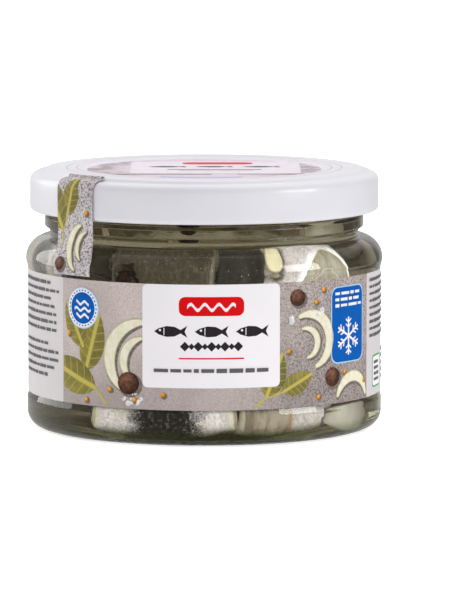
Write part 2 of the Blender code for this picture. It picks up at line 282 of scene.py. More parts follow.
def plainMesh(name, points, faces):
    mesh = bpy.data.meshes.new(name)
    mesh.from_pydata(points, [], faces)
    return mesh


def meshFrom(name, points, faces, material, facts=None, sharpAngle=40.0):
    # Facts are float or vector values for each point, kept as attributes for the material.
    mesh = plainMesh(name, points, faces)
    for fact, values in (facts or {}).items():
        if isinstance(values[0], tuple):
            flat = [number for value in values for number in value]
            mesh.attributes.new(fact, "FLOAT_VECTOR", "POINT").data.foreach_set("vector", flat)
        else:
            mesh.attributes.new(fact, "FLOAT", "POINT").data.foreach_set("value", values)
    shape = bmesh.new()
    shape.from_mesh(mesh)
    bpy.data.meshes.remove(mesh)
    return finishShape(name, shape, material, sharpAngle)


def turnedPiece(name, profile, segments, material, nudge=None, wetFrom=None):
    # A closed (radius, height) profile turned about the jar's axis.
    # nudge(angle, radius, height) gives a small change of both, in millimetres.
    # From the profile's point wetFrom on, the attribute "wet" is 1.
    points, rings, wet = [], [], []
    for number, (radius, height) in enumerate(profile):
        count = segments if radius > 1e-6 else 1
        rings.append([len(points) + step % count for step in range(segments)])
        for step in range(count):
            angle = 360.0 * step / segments
            out, up = nudge(angle, radius, height) if nudge and count > 1 else (0.0, 0.0)
            points.append(aroundJar(angle, radius + out, height + up))
            wet.append(1.0 if wetFrom and number >= wetFrom else 0.0)
    facts = {"wet": wet} if wetFrom else None
    return meshFrom(name, points, ringFaces(rings + rings[:1]), material, facts)


def settle(piece, slot, *nodes):
    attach(piece, "root")
    if slot in ("herring", "onion", "allspice"):
        insideThings.objects.link(piece)
    if nodes:
        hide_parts(*nodes)


# Camera, light and floor

cameraSet = {
    "distance": 1.3,
    "elevation": 6.4,
    "aimHeight": 0.0305,
    "lens": 318.24,
    "shiftX": 0.0346,
    "clip": (0.05, 20.0),
}

studio = {
    "skyFront": 0.08,
    "skyBack": 0.55,
    "skyBelow": 0.06,
    "skyOnMatt": 0.36,
    "horizon": (-0.06, 0.02),
    "backEdge": (-0.4, 0.6),
    "darkCard": (0.75, 0.66, 0.05),
    "darkCardEdge": (0.86, 0.96),
    "darkCardShade": 0.25,
    "floorRadius": 3.0,
    "floorDrop": 0.00002,
    "floorColour": (0.97, 0.97, 0.97),
    "floorGlow": 0.6,
    "lampsAim": (0.0, 0.0, 0.03),
    "sun": {"power": 2.2, "softness": 60.0, "tilt": -20.0},
    # Name, place, size, power and whether mirrors show the lamp
    "softboxes": [
        ("rightBox", (1.35, -0.60, 0.46), (0.7, 0.6), 9.0, True),
        ("leftBox", (-1.15, -0.80, 0.28), (0.7, 0.6), 2.6, False),
        ("lowFill", (0.1, -1.4, 0.14), (1.2, 0.3), 1.9, False),
        ("rimBox", (-0.70, 0.36, 0.28), (0.60, 0.50), 2.2, True),
        ("backFill", (0.0, 1.20, 0.34), (1.6, 0.4), 6.0, False),
        ("tableGlow", (0.0, 0.0, -0.25), (1.6, 1.6), 10.0, False),
        ("fishLight", (-0.10, -1.2, 0.34), (0.4, 0.3), 15.0, False),
    ],
    # This lamp lights only what the jar holds
    "insideLamp": "fishLight",
}


def makeCamera():
    data = bpy.data.cameras.new("camera")
    data.sensor_width = 36.0
    data.lens = cameraSet["lens"]
    data.shift_x = cameraSet["shiftX"]
    data.clip_start, data.clip_end = cameraSet["clip"]
    camera = bpy.data.objects.new("camera", data)
    tilt = math.radians(cameraSet["elevation"])
    far = cameraSet["distance"]
    camera.location = (0.0, -far * math.cos(tilt), cameraSet["aimHeight"] + far * math.sin(tilt))
    camera.rotation_euler = (math.pi / 2 - tilt, 0.0, 0.0)
    bpy.context.scene.collection.objects.link(camera)
    bpy.context.scene.camera = camera


def makeSky():
    # Bright behind the jar and dimmer towards the camera, with a dark card behind on the right.
    world = bpy.data.worlds.new("studioSky")
    world.use_nodes = True
    bpy.context.scene.world = world
    tree = world.node_tree
    direction = addNode(tree, "ShaderNodeTexCoord").outputs["Generated"]
    axes = split(direction)
    front = ramp(axes["Z"], *studio["horizon"], studio["skyBelow"], studio["skyFront"])
    level = ramp(axes["Y"], *studio["backEdge"], front, studio["skyBack"])
    card = vectorMaths("DOT_PRODUCT", direction, studio["darkCard"])["Value"]
    level = times(level, ramp(card, *studio["darkCardEdge"], 1.0, studio["darkCardShade"]))
    # The picture's own ground is white, and what is matt is lit more than mirrors show.
    path = addNode(tree, "ShaderNodeLightPath").outputs
    fromMatt = maths("GREATER_THAN", path["Diffuse Depth"], 0.5)
    level = maths("MAXIMUM", level, times(fromMatt, studio["skyOnMatt"]))
    level = maths("MAXIMUM", level, path["Is Camera Ray"])
    plug(tree.nodes["Background"], "Color", level)


def addLamp(name, kind, power):
    data = bpy.data.lights.new(name, kind)
    data.energy = power
    lamp = bpy.data.objects.new(name, data)
    bpy.context.scene.collection.objects.link(lamp)
    return lamp, data


def makeLights():
    for name, place, size, power, mirrored in studio["softboxes"]:
        light, data = addLamp(name, "AREA", power)
        data.shape = "RECTANGLE"
        data.size, data.size_y = size
        light.location = place
        away = Vector(place) - Vector(studio["lampsAim"])
        light.rotation_euler = away.to_track_quat("Z", "Y").to_euler()
        light.visible_camera = False
        light.visible_glossy = light.visible_transmission = mirrored
        if name == studio["insideLamp"]:
            light.light_linking.receiver_collection = insideThings
    sun, data = addLamp("softSun", "SUN", studio["sun"]["power"])
    data.angle = math.radians(studio["sun"]["softness"])
    sun.rotation_euler = (math.radians(studio["sun"]["tilt"]), 0.0, 0.0)
    sun.visible_glossy = False


def makeFloor():
    shape = bmesh.new()
    bmesh.ops.create_circle(shape, cap_ends=True, segments=64, radius=studio["floorRadius"])
    bmesh.ops.translate(shape, verts=shape.verts, vec=(0.0, 0.0, -studio["floorDrop"]))
    colour = studio["floorColour"]
    material = newMaterial(
        "paleTable", colour=colour, roughness=0.9, glow=colour, glowStrength=studio["floorGlow"])[0]
    floor = finishShape("floor", shape, material)
    # The glass mirrors a dim room, and a light under the pale table stands for the table's own light.
    floor.visible_glossy = floor.visible_transmission = floor.visible_diffuse = floor.visible_shadow = False
    floor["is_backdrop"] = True


makeCamera()
makeSky()
makeLights()
makeFloor()
bpy.context.scene.view_settings.view_transform = "Standard"
bpy.context.scene.cycles.transparent_max_bounces = 16
print("camera, light and floor are set")


# Glass jar

jarGlass = {
    "segments": 384,
    "bodyRadius": 43.75,
    "baseRadius": 43.4,
    "panelRadius": 42.7,
    "grooveRadius": 37.75,
    "beadRadius": 39.0,
    "neckRadius": 38.2,
    "height": 62.0,
    "ringInner": 34.0,
    "ringOuter": 39.8,
    "ringRibs": 96,
    "ribDepth": 0.2,
    "innerRadius": 40.5,
    "innerCorner": 1.6,
    "shoulderTop": 44.6,
    "shoulderRounding": 3.7,
    "shoulderArc": 4.0,
    "neckInner": 35.6,
    "neckBottom": 45.0,
    "neckRounding": 1.2,
    "floorHeight": 1.8,
    "floorRise": 1.0,
    "ripple": 0.05,
    # The stipple dots' near-black tint and the foot's darker, greener tint are painted shade of the thick
    # foot; the stipple's relief is real
    "stipple": {
        "size": 1.2, "depth": 0.35, "top": 1.1, "soft": 0.3, "share": 0.9, "tint": (0.05, 0.08, 0.02),
    },
    "footShadeTint": (0.44, 0.49, 0.33),
    "footShadeBand": (1.5, 4.5),
    "colour": (0.985, 0.99, 0.98),
    "ior": 1.5,
    "waveSize": 14.0,
    "waveDepth": 0.12,
    "wetMirror": 0.08,
    "lampTint": (0.97, 0.975, 0.965),
    "greenTint": (0.30, 0.42, 0.20),
    "greenDepth": 16.0,
}


def jarOutside():
    jar = jarGlass
    return roundCorners([
        (0.0, 1.2, 0),
        (jar["ringInner"] - 1.6, 0.7, 2.0),
        (jar["ringInner"] + 0.4, 0.0, 0.5),
        (jar["baseRadius"], 0.0, 4.0),
        (jar["baseRadius"], 7.4, 1.2),
        (jar["panelRadius"], 9.4, 1.2),
        (jar["panelRadius"], 37.4, 1.5),
        (jar["bodyRadius"] - 0.1, 40.9, 2.5),
        (jar["bodyRadius"] + 0.05, 46.8, 5.4),
        (jar["grooveRadius"], 46.7, 0.35),
        (jar["grooveRadius"], 48.3, 0.4),
        (jar["beadRadius"], 49.2, 0.5),
        (jar["beadRadius"], 51.4, 0.5),
        (jar["neckRadius"], 52.1, 0.4),
        (jar["neckRadius"], jar["height"], 0.8),
        (jar["neckRadius"] - 1.2, jar["height"], 0),
    ], steps=8)


def jarInside():
    jar = jarGlass
    return roundCorners([
        (jar["neckInner"] + 1.0, jar["height"], 0),
        (jar["neckInner"], jar["height"], 0.8),
        (jar["neckInner"], jar["neckBottom"], jar["neckRounding"]),
        (jar["innerRadius"], jar["shoulderTop"], jar["shoulderRounding"]),
        (jar["innerRadius"], jar["floorHeight"], jar["innerCorner"]),
        (0.0, jar["floorHeight"] + jar["floorRise"], 0),
    ], steps=10)


def nudgeGlass(angle, radius, height):
    # Ribs under the foot and a slow ripple of the inner wall
    jar = jarGlass
    out = up = 0.0
    if height < 0.25 and jar["ringInner"] < radius < jar["ringOuter"]:
        ribs = math.sin(math.radians(angle * jar["ringRibs"]))
        across = math.sin(math.pi * (radius - jar["ringInner"]) / (jar["ringOuter"] - jar["ringInner"]))
        up = jar["ribDepth"] * across * max(0.0, ribs) ** 2
    if 10.0 < radius < jar["innerRadius"] + 0.01 and height > 2.0:
        spot = aroundJar(angle, radius, height * 0.6) / mm
        out = jar["ripple"] * (noise.noise(spot * 0.11) + 0.4 * noise.noise(spot * 0.31))
    return out, up


def letLampsThrough(shader, tint):
    # Lamps light what is inside: only their rays pass straight on.
    tree = shader.id_data
    lamps = addNode(tree, "ShaderNodeLightPath").outputs["Is Shadow Ray"]
    clear = addNode(tree, "ShaderNodeBsdfTransparent", {"Color": tint}).outputs[0]
    mixed = addNode(tree, "ShaderNodeMixShader", {0: lamps, 1: shader.outputs[0], 2: clear}).outputs[0]
    plug(tree.nodes["Material Output"], "Surface", mixed)


def glassMaterial():
    # Where the marinade wets the glass, it mirrors little.
    jar, stipple = jarGlass, jarGlass["stipple"]
    material, tree, shader = newMaterial("jarGlass", roughness=0.0, ior=jar["ior"], transmission=1.0)
    spot = inMillimetres(tree)
    height = split(spot)["Z"]
    dots = ramp(cells(spot, stipple["size"]), 0.2, 0.5, 1.0, 0.0)
    dots = times(dots, ramp(height, stipple["top"], stipple["top"] - stipple["soft"]))
    # Painted shade: the foot's glass darkens towards the floor and the stipple dots are tinted nearly black
    tint = blend(ramp(height, *jar["footShadeBand"]), jar["footShadeTint"], jar["colour"])
    tint = blend(times(dots, stipple["share"]), tint, stipple["tint"])
    mirror = ramp(attribute(tree, "wet", "Fac"), 0.0, 1.0, 1.0, jar["wetMirror"])
    setLook(shader, colour=tint, mirrorTint=mirror)
    waves = grain(stretch(spot, (1.0, 1.0, 0.5)), jar["waveSize"], 1.0)
    relief = maths("MULTIPLY_ADD", dots, stipple["depth"] / jar["waveDepth"], waves)
    bump(shader, relief, jar["waveDepth"], 0.5)
    letLampsThrough(shader, jar["lampTint"])
    inputs = {"Color": jar["greenTint"], "Density": jar["greenDepth"]}
    depth = addNode(tree, "ShaderNodeVolumeAbsorption", inputs).outputs[0]
    plug(tree.nodes["Material Output"], "Volume", depth)
    return material


def makeJar():
    outside = spacedOut(jarOutside(), 4.0)
    profile = outside + spacedOut(jarInside(), 3.0)
    # The neck's rim stays dry
    wetFrom = len(outside) + 3
    jar = turnedPiece("glassJar", profile, jarGlass["segments"], glassMaterial(), nudgeGlass, wetFrom)
    settle(jar, "glass", "glass_jar")


makeJar()
print("glass jar is made")


# Marinade: it reaches a little into the wall, so that no air shows between them

marinade = {
    "segments": 240,
    "overlap": 0.12,
    "level": 58.0,
    "colour": (0.99, 0.98, 0.96),
    "ior": 1.34,
    "absorb": (0.50, 0.44, 0.27),
    "density": 30.0,
    # The marinade's volume glows: painted light for the light that the marinade scatters
    "haze": (0.085, 0.072, 0.045),
    "paintedGlowStrength": 12.5,
    "mirrorTint": (0.1, 0.1, 0.1),
    "lampTint": (0.97, 0.96, 0.93),
}


def makeMarinade():
    jar, more = jarGlass, marinade["overlap"]
    profile = roundCorners([
        (0.0, jar["floorHeight"] + jar["floorRise"] - more, 0),
        (jar["innerRadius"] + more, jar["floorHeight"] - more, jar["innerCorner"] + more),
        (jar["innerRadius"] + more, jar["shoulderTop"] + more, jar["shoulderRounding"] + more),
        (jar["neckInner"] + more, jar["neckBottom"] + more, jar["neckRounding"] - more),
        (jar["neckInner"] + more, marinade["level"], 0.2),
        (0.0, marinade["level"], 0),
    ], steps=10)
    material, tree, shader = newMaterial(
        "clearMarinade", colour=marinade["colour"], roughness=0.0, ior=marinade["ior"], transmission=1.0,
        mirrorTint=marinade["mirrorTint"])
    letLampsThrough(shader, marinade["lampTint"])
    inputs = {"Color": marinade["absorb"], "Density": marinade["density"]}
    depth = addNode(tree, "ShaderNodeVolumeAbsorption", inputs).outputs[0]
    # A faint glow of the marinade's volume is painted light, for the light the marinade scatters
    inputs = {"Color": marinade["haze"], "Strength": marinade["paintedGlowStrength"]}
    haze = addNode(tree, "ShaderNodeEmission", inputs).outputs[0]
    both = addNode(tree, "ShaderNodeAddShader", {0: depth, 1: haze}).outputs[0]
    plug(tree.nodes["Material Output"], "Volume", both)
    settle(turnedPiece("marinade", spacedOut(profile, 3.0), marinade["segments"], material), "marinade")


makeMarinade()
print("marinade is made")


# Herring rolls: each is wound from a fillet and pressed against the wall

herringRolls = {
    "seed": 11,
    "angleDrift": 2.0,
    "heightDrift": 0.4,
    "yawDrift": 5.0,
    "tiltDrift": 3.0,
    "radiusDrift": 0.03,
    "lengthDrift": 0.04,
    "band": 3.0,
    "bandGap": 0.5,
    "turns": 2,
    "flapTaper": 0.16,
    "flapDrop": 2.2,
    "centre": 0.9,
    "grooveDepth": 2.0,
    "endRounding": 0.9,
    "endScale": 0.92,
    "squeeze": 1.8,
    "wallGap": 0.35,
    "stepsPerTurn": 60,
    "stations": 34,
    "bandRows": 8,
    "unevenness": 0.45,
    "layers": [
        {"angles": (-16, 30, 66, 118, 300), "yaws": (0, 0, 0, 0, 0),
         "heights": (13.5, 12.5, 18.4, 13.5, 18.0), "lengths": (36.0, 24.5, 26.0, 37.4, 26.0),
         "side": -1, "fill": 8.0, "fromAxis": 28.0, "radius": 11.7},
        {"angles": (-16, 46, 105, 165, 225, 285), "yaws": (0, 90, 0, 0, 0, 0),
         "heights": (35.1, 35.5, 33.5, 31.5, 31.5, 34.5), "lengths": (24.5, 29.0, 29.0, 29.0, 29.0, 29.0),
         "side": 1, "fill": 6.0, "fromAxis": 28.0, "radius": 11.4},
        {"angles": (172, 232), "yaws": (0, 0), "heights": (13.5, 13.5), "lengths": (37.4, 37.4), "side": -1,
         "fill": 8.0, "fromAxis": 28.0, "radius": 11.7},
    ],
    "upright": {"angle": 15.0, "fromAxis": 26.5, "radius": 9.0, "length": 36.0, "height": 26.0},
    # Where the dark back runs along each roll (0 is its middle), its half width and how dark it is
    "backs": [
        (0.03, 0.44, 1.0), (1.3, 0.2, 0.3), (0.0, 1.5, 0.85), (-0.1, 0.35, 0.5), (0.5, 0.3, 0.9),
        (0.0, 1.5, 0.9), (0.75, 0.75, 0.85), (-0.9, 0.5, 0.9), (0.0, 0.3, 0.4), (0.0, 1.5, 0.8),
        (0.1, 0.35, 0.8), (0.1, 0.3, 0.5), (-0.3, 0.3, 0.7), (0.0, 0.3, 0.5),
    ],
    # How light each roll's skin and flesh are, and how warm the skin is. Lightness is partly each roll's own
    # and partly painted light and shade: roll 6 is brightened past any skin's colour, and the darkest rolls
    # are painted in shade.
    "tonesAndShade": [
        (0.95, 0.9, 0.1), (0.8, 0.85, 0.2), (0.5, 0.45, 0.1), (0.9, 1.0, 0.2), (0.95, 1.0, 0.1),
        (0.7, 0.3, 0.9), (1.35, 0.66, 0.0), (0.45, 0.35, 0.1), (0.9, 1.0, 0.2), (0.4, 0.4, 0.2),
        (0.8, 0.1, 0.4), (0.9, 1.0, 0.2), (0.9, 0.9, 0.2), (0.06, 0.05, 0.2),
    ],
    # Where bare flesh ends along each roll: -1 is its left end, and nothing is bare there
    "bare": [-1.0, 0.0, -1.0, -1.0, -1.0, -1.0, -1.0, -1.0, -0.6, -1.0, -1.0, -0.5, -1.0, -1.0],
}


def softLimit(value, start, limit):
    # Leaves a value below start alone and eases a larger one so that it stays under the limit.
    if value <= start:
        return value
    room = limit - start
    reach = (value - start) / room
    return start + room * reach / (1.0 + reach ** 4) ** 0.25


def cavityRadius(height):
    # The radius of the jar's inner wall at a height.
    jar = jarGlass
    wall, corner, arc = jar["innerRadius"], jar["innerCorner"], jar["shoulderArc"]
    if height < jar["floorHeight"] + corner:
        drop = min(jar["floorHeight"] + corner - height, corner)
        return wall - corner + math.sqrt(corner ** 2 - drop ** 2)
    rise = min(max(0.0, height - jar["shoulderTop"] + arc), arc)
    return max(wall - arc + math.sqrt(arc ** 2 - rise ** 2), jar["neckInner"])


def pressIntoJar(point):
    gap, squeeze = herringRolls["wallGap"], herringRolls["squeeze"]
    across = math.hypot(point.x, point.y)
    rise = jarGlass["floorRise"] * max(0.0, 1.0 - across / jarGlass["innerRadius"])
    low = jarGlass["floorHeight"] + rise + squeeze
    point.z = low - softLimit(low - point.z, 0.0, squeeze - gap)
    wall = cavityRadius(point.z) - gap
    if across > wall - squeeze:
        scale = softLimit(across, wall - squeeze, wall) / across
        point.x *= scale
        point.y *= scale


def spiralRadius(radius, step):
    turns = step / herringRolls["stepsPerTurn"]
    flap = max(0.0, 1.0 - turns / herringRolls["flapTaper"]) * herringRolls["flapDrop"]
    pitch = herringRolls["band"] + herringRolls["bandGap"]
    return max(radius - pitch * turns - flap, herringRolls["centre"])


def rollShape(radius, length):
    # One roll along X as points, faces and the facts that the skin's pattern needs.
    points, faces, facts = [], [], []
    perTurn, rows, scale = (herringRolls[word] for word in ("stepsPerTurn", "bandRows", "endScale"))
    last = perTurn * herringRolls["turns"]
    half = length / 2
    rim, groove = half - herringRolls["endRounding"], half - herringRolls["grooveDepth"]

    def addPoint(along, across, step, flesh):
        turn = 2.0 * math.pi * step / perTurn
        points.append(Vector((along, across * math.cos(turn), across * math.sin(turn))))
        facts.append((along / half, turn * radius, flesh))
        return len(points) - 1

    def edgeAt(step):
        # Where the edge of the band is: its radius and how far it stands from the roll's middle.
        return spiralRadius(radius, step) * scale, rim if step <= perTurn else groove

    rings = []
    for station in range(herringRolls["stations"]):
        share = 2.0 * station / (herringRolls["stations"] - 1) - 1.0
        thinned = 1.0 - (1.0 - scale) * abs(share) ** 3
        rings.append([
            addPoint(rim * share, spiralRadius(radius, step) * thinned, step, 0.0)
            for step in range(perTurn + 1)])
    faces += ringFaces(rings)
    for edge, side in ((list(rings[0]), -1), (list(rings[-1]), 1)):
        for step in range(perTurn + 1, last + 1):
            edge.append(addPoint(side * groove, spiralRadius(radius, step) * scale, step, 0.4))
        lines = []
        for step in range(last + 1):
            outer, outerAlong = edgeAt(step)
            inner, innerAlong = edgeAt(step + perTurn)
            line = [edge[step]]
            for row in range(1, rows):
                share = row / rows
                along = outerAlong + (innerAlong - outerAlong) * share
                along += (half - along) * math.sin(math.pi * share) ** 0.5
                across = outer + (inner - outer) * share
                line.append(addPoint(side * along, across, step, min(1.0, share * 6.0)))
            if step + perTurn <= last:
                line.append(edge[step + perTurn])
            lines.append(line)
        middle = rows // 2
        for step in range(last):
            near, far = lines[step], lines[step + 1]
            for row in range(middle if step >= last - perTurn else rows):
                faces.append((near[row], near[row + 1], far[row + 1], far[row]))
        faces.append(tuple(lines[0]))
        # The band's inner end is closed round the roll's centre.
        plugRing = [lines[step][middle] for step in range(last - perTurn, last + 1)]
        plugRing += [lines[last][row] for row in range(middle - 1, -1, -1)]
        plugRing += [lines[last - perTurn][row] for row in range(rows - 1, middle, -1)]
        centre = addPoint(side * (half - 0.4), 0.0, 0, 1.0)
        for here, there in zip(plugRing, plugRing[1:] + plugRing[:1]):
            faces.append((here, there, centre))
    return points, faces, facts


def uneven(point, seed):
    # Soft flesh is never quite even.
    spot = point + Vector((seed * 7.3, seed * 3.1, seed * 5.7))
    shift = noise.noise_vector(spot * 0.12) + noise.noise_vector(spot * 0.45) * 0.4
    return point + shift * herringRolls["unevenness"]


def rollPlaces():
    # The same places, turns and sizes as the solids have, from the same random draws.
    rolls = herringRolls
    rng = random.Random(rolls["seed"])

    def drift(word):
        return rng.uniform(-rolls[word], rolls[word])

    def turn(degrees, axis):
        return Matrix.Rotation(math.radians(degrees), 4, axis)

    for layer in rolls["layers"]:
        for angle, turned, height, long in zip(
                layer["angles"], layer["yaws"], layer["heights"], layer["lengths"]):
            angle += drift("angleDrift")
            spot = aroundJar(angle, layer["fromAxis"], height + drift("heightDrift")) / mm
            yaw = turn(angle + turned + drift("yawDrift"), "Z")
            tilt = turn(drift("tiltDrift"), "Y")
            spin = turn(rng.uniform(0.0, 360.0), "X")
            radius = layer["radius"] * (1.0 + drift("radiusDrift"))
            length = long * (1.0 + drift("lengthDrift"))
            yield spot, yaw, tilt @ spin, (0 if turned else layer["side"], layer["fill"]), radius, length
    standing = rolls["upright"]
    yield pieceSpot(standing), turn(-90.0, "Y"), Matrix(), (0, 2.0), standing["radius"], standing["length"]


def fillCorner(point, side, power):
    # A roll is pressed into the corner of the jar: its outer lower or outer upper quarter gets squarer.
    if side and point.y < 0.0 and point.z * side > 0.0:
        across = math.hypot(point.y, point.z)
        square = (abs(point.y / across) ** power + abs(point.z / across) ** power) ** (-1.0 / power)
        point.y *= square
        point.z *= square
    return point


# Onion and allspice between the rolls and the glass, which press dents into the rolls

onionPieces = {
    "thickness": 1.6,
    "curve": 13.0,
    "rows": 26,
    "columns": 24,
    "gap": 0.3,
    "clear": 0.6,
    "dentDepth": 9.0,
    "places": [
        {"angle": 26.0, "fromAxis": 35.9, "height": 42.4, "lean": 38.0, "wide": 4.0, "tall": 4.2},
        {"angle": 58.0, "fromAxis": 32.6, "height": 49.9, "lean": 6.0, "wide": 15.0, "tall": 4.6},
        {"angle": 59.0, "fromAxis": 38.9, "height": 4.8, "lean": 0.0, "wide": 18.0, "tall": 4.6},
    ],
}

allspice = {
    "radius": 2.8,
    "gap": 0.3,
    "dentDepth": 6.0,
    "wrinkle": 0.16,
    "sunk": 0.75,
    "places": [
        {"angle": -28.5, "fromAxis": 37.2, "height": 38.6},
        {"angle": -6.5, "fromAxis": 32.2, "height": 52.5},
    ],
}


def onionFrame(piece):
    turn = Matrix.Rotation(math.radians(piece["angle"]), 4, "Z")
    lean = Matrix.Rotation(math.radians(-piece["lean"]), 4, "X")
    return Matrix.Translation(pieceSpot(piece)) @ turn @ lean


def outOfOnion(point, piece, local, back):
    # Moves a point of a roll out of the space of an onion piece.
    onion = onionPieces
    near = back @ point
    wide, tall = piece["wide"] / 2 + onion["clear"], piece["tall"] / 2 + onion["clear"]
    if (near.x / wide) ** 2 + (near.z / tall) ** 2 > 1.0 or abs(near.y) > onion["dentDepth"]:
        return point
    face = onion["curve"] - onion["thickness"] / 2
    depth = onion["curve"] - math.sqrt(max(0.0, face ** 2 - near.x ** 2 - near.z ** 2)) + onion["gap"]
    return point if near.y > depth else local @ Vector((near.x, depth, near.z))


def outOfBerry(point, centre):
    # Moves a point of a roll out of the space of a berry.
    inward = -Vector((centre.x, centre.y, 0.0)).normalized()
    offset = point - centre
    depth = offset.dot(inward)
    aside = (offset - inward * depth).length
    reach = allspice["radius"] + allspice["gap"]
    if aside > reach or depth < -allspice["dentDepth"]:
        return point
    return point + inward * max(0.0, math.sqrt(reach ** 2 - aside ** 2) - depth)


skinLook = {
    "silver": (0.90, 0.845, 0.90),
    "silverShade": (0.60, 0.56, 0.585),
    "warmSilver": (0.84, 0.76, 0.68),
    "back": (0.020, 0.018, 0.016),
    "backLight": (0.17, 0.155, 0.13),
    "belly": (0.74, 0.72, 0.64),
    "bare": (0.50, 0.44, 0.37),
    "bareShade": (0.26, 0.215, 0.165),
    "seam": (0.62, 0.36, 0.20),
    "flesh": (0.58, 0.53, 0.42),
    "fleshShade": (0.36, 0.31, 0.22),
    "warmth": (1.0, 0.88, 0.62),
    # Clouds: size, detail and roughness of the noise, then its levels
    "silverClouds": (5.0, 4.0, 0.6, 0.35, 0.75),
    "warmClouds": (5.0, 2.0, 0.5, 0.55, 0.75, 0.0, 0.6),
    "backClouds": (0.8, 3.0, 0.7, 0.5, 0.75),
    "bareClouds": (3.0, 3.0, 0.6, 0.4, 0.65),
    "fibres": (1.6, 3.0, 0.6, 0.35, 0.7),
    "roughness": (3.0, 2.0, 0.5, 0.3, 0.7, 0.24, 0.42),
    # Levels: where a step starts and ends, then its lowest and highest value
    "backEdge": (1.35, 0.65),
    "bellyEdge": (0.80, 0.95),
    "bareEdge": (0.05, -0.02),
    "seamEdge": (0.06, 0.0, 0.0, 0.7),
    "fleshEdge": (0.15, 0.6),
    "glitterLevels": (0.0, 1.0, 0.8, 1.15),
    "mirrorLevels": (0.0, 0.7, 0.12, 1.0),
    "scale": 1.3,
    "glitter": 0.38,
    "metal": 0.10,
    "relief": 0.10,
}


def skinMaterial():
    look = skinLook
    material, tree, shader = newMaterial("herringSkin")
    place, back, tone = (split(attribute(tree, name)) for name in ("rollPlace", "rollBack", "rollTone"))
    bareFrom = attribute(tree, "rollBare", "Fac")
    spot = inMillimetres(tree)
    # Distance from the dark back's middle, in half widths, with a ragged border
    offset = maths("ABSOLUTE", maths("SUBTRACT", place["X"], back["X"]))
    offset = maths("DIVIDE", offset, back["Y"])
    ragged = maths("MULTIPLY_ADD", grain(spot, 3.0, 3.0, 0.6), 0.8, -0.4)
    speckle = maths("SUBTRACT", grain(spot, 0.4, 2.0, 0.6), 0.5)
    border = maths("ADD", maths("ADD", offset, ragged), speckle)
    darkness = times(ramp(border, *look["backEdge"]), back["Z"])
    # Silver sides with rows of scales
    silver = blend(clouds(spot, *look["silverClouds"]), look["silver"], look["silverShade"])
    warm = clouds(stretch(spot, (0.8, 0.8, 1.6)), *look["warmClouds"])
    silver = blend(warm, silver, look["warmSilver"])
    # Each scale is a little lighter or darker: painted glints of the silver scales
    glitter = split(cells(spot, look["glitter"], "Color"))["X"]
    silver = tinted(silver, ramp(glitter, *look["glitterLevels"]))
    silver = blend(ramp(maths("ABSOLUTE", place["X"]), *look["bellyEdge"]), silver, look["belly"])
    dark = blend(clouds(spot, *look["backClouds"]), look["back"], look["backLight"])
    skin = blend(darkness, silver, dark)
    # Bare flesh at one end of some rolls, with an orange seam beside it
    bareEnd = maths("ADD", maths("SUBTRACT", place["X"], bareFrom), times(ragged, 0.12))
    hasBare = maths("GREATER_THAN", bareFrom, -0.99)
    shade = clouds(stretch(spot, (1.0, 1.0, 0.4)), *look["bareClouds"])
    bare = blend(shade, look["bare"], look["bareShade"])
    skin = blend(times(ramp(bareEnd, *look["bareEdge"]), hasBare), skin, bare)
    seam = times(ramp(maths("ABSOLUTE", bareEnd), *look["seamEdge"]), hasBare)
    # Each roll's tone scales its skin: partly its own colour, partly painted light and shade
    skin = tinted(blend(seam, skin, look["seam"]), tone["X"])
    skin = blend(tone["Z"], skin, tinted(skin, look["warmth"]))
    # Flesh at the rolled ends, scaled by the roll's tone, which partly paints light and shade
    fibres = clouds(stretch(spot, (1.0, 1.0, 0.35)), *look["fibres"])
    flesh = tinted(blend(fibres, look["flesh"], look["fleshShade"]), tone["Y"])
    share = ramp(place["Z"], *look["fleshEdge"])
    metal = times(times(maths("SUBTRACT", 1.0, share), look["metal"]), ramp(darkness, 0.0, 1.0, 1.0, 0.2))
    # Dark rolls mirror less
    mirror = ramp(tone["X"], *look["mirrorLevels"])
    rough = clouds(spot, *look["roughness"])
    setLook(shader, colour=blend(share, skin, flesh), metallic=metal, roughness=rough, mirrorTint=mirror)
    lattice = cells(stretch(spot, (1.0, 1.0, 1.4)), look["scale"], feature="SMOOTH_F1")
    bump(shader, maths("ADD", times(lattice, 0.6), grain(spot, 0.9, 3.0, 0.6)), look["relief"], 0.8)
    return material


def makeRolls():
    onions = [(piece, onionFrame(piece), onionFrame(piece).inverted()) for piece in onionPieces["places"]]
    berries = [pieceSpot(piece) for piece in allspice["places"]]
    points, faces = [], []
    given = {"rollPlace": [], "rollBack": [], "rollTone": [], "rollBare": []}
    for number, (spot, yaw, roll, corner, radius, length) in enumerate(rollPlaces()):
        start = len(points)
        rollPoints, rollFaces, facts = rollShape(radius, length)
        for point in rollPoints:
            moved = spot + yaw @ fillCorner(roll @ uneven(point, number), *corner)
            pressIntoJar(moved)
            for onion in onions:
                moved = outOfOnion(moved, *onion)
            for centre in berries:
                moved = outOfBerry(moved, centre)
            points.append(moved * mm)
        faces += [tuple(start + index for index in face) for face in rollFaces]
        given["rollPlace"] += facts
        for fact, word in (("rollBack", "backs"), ("rollTone", "tonesAndShade"), ("rollBare", "bare")):
            given[fact] += [herringRolls[word][number]] * len(rollPoints)
    rolls = meshFrom("herringRolls", points, faces, skinMaterial(), given, 60.0)
    settle(rolls, "herring", "herring_rolls")


makeRolls()
print("herring rolls are made")


onionLook = {
    "pale": (0.84, 0.77, 0.56),
    "deep": (0.66, 0.58, 0.36),
    # Each piece's tone: piece 2, in the shade under the lid, is darkened as painted shade
    "tonesAndShade": ((1.0, 1.0, 1.0), (0.40, 0.40, 0.40), (0.54, 0.56, 0.70)),
    "veins": 0.9,
}

berryLook = {
    "dark": (0.010, 0.006, 0.005),
    "light": (0.035, 0.013, 0.009),
    "clouds": (1.2, 3.0, 0.6, 0.35, 0.7),
}


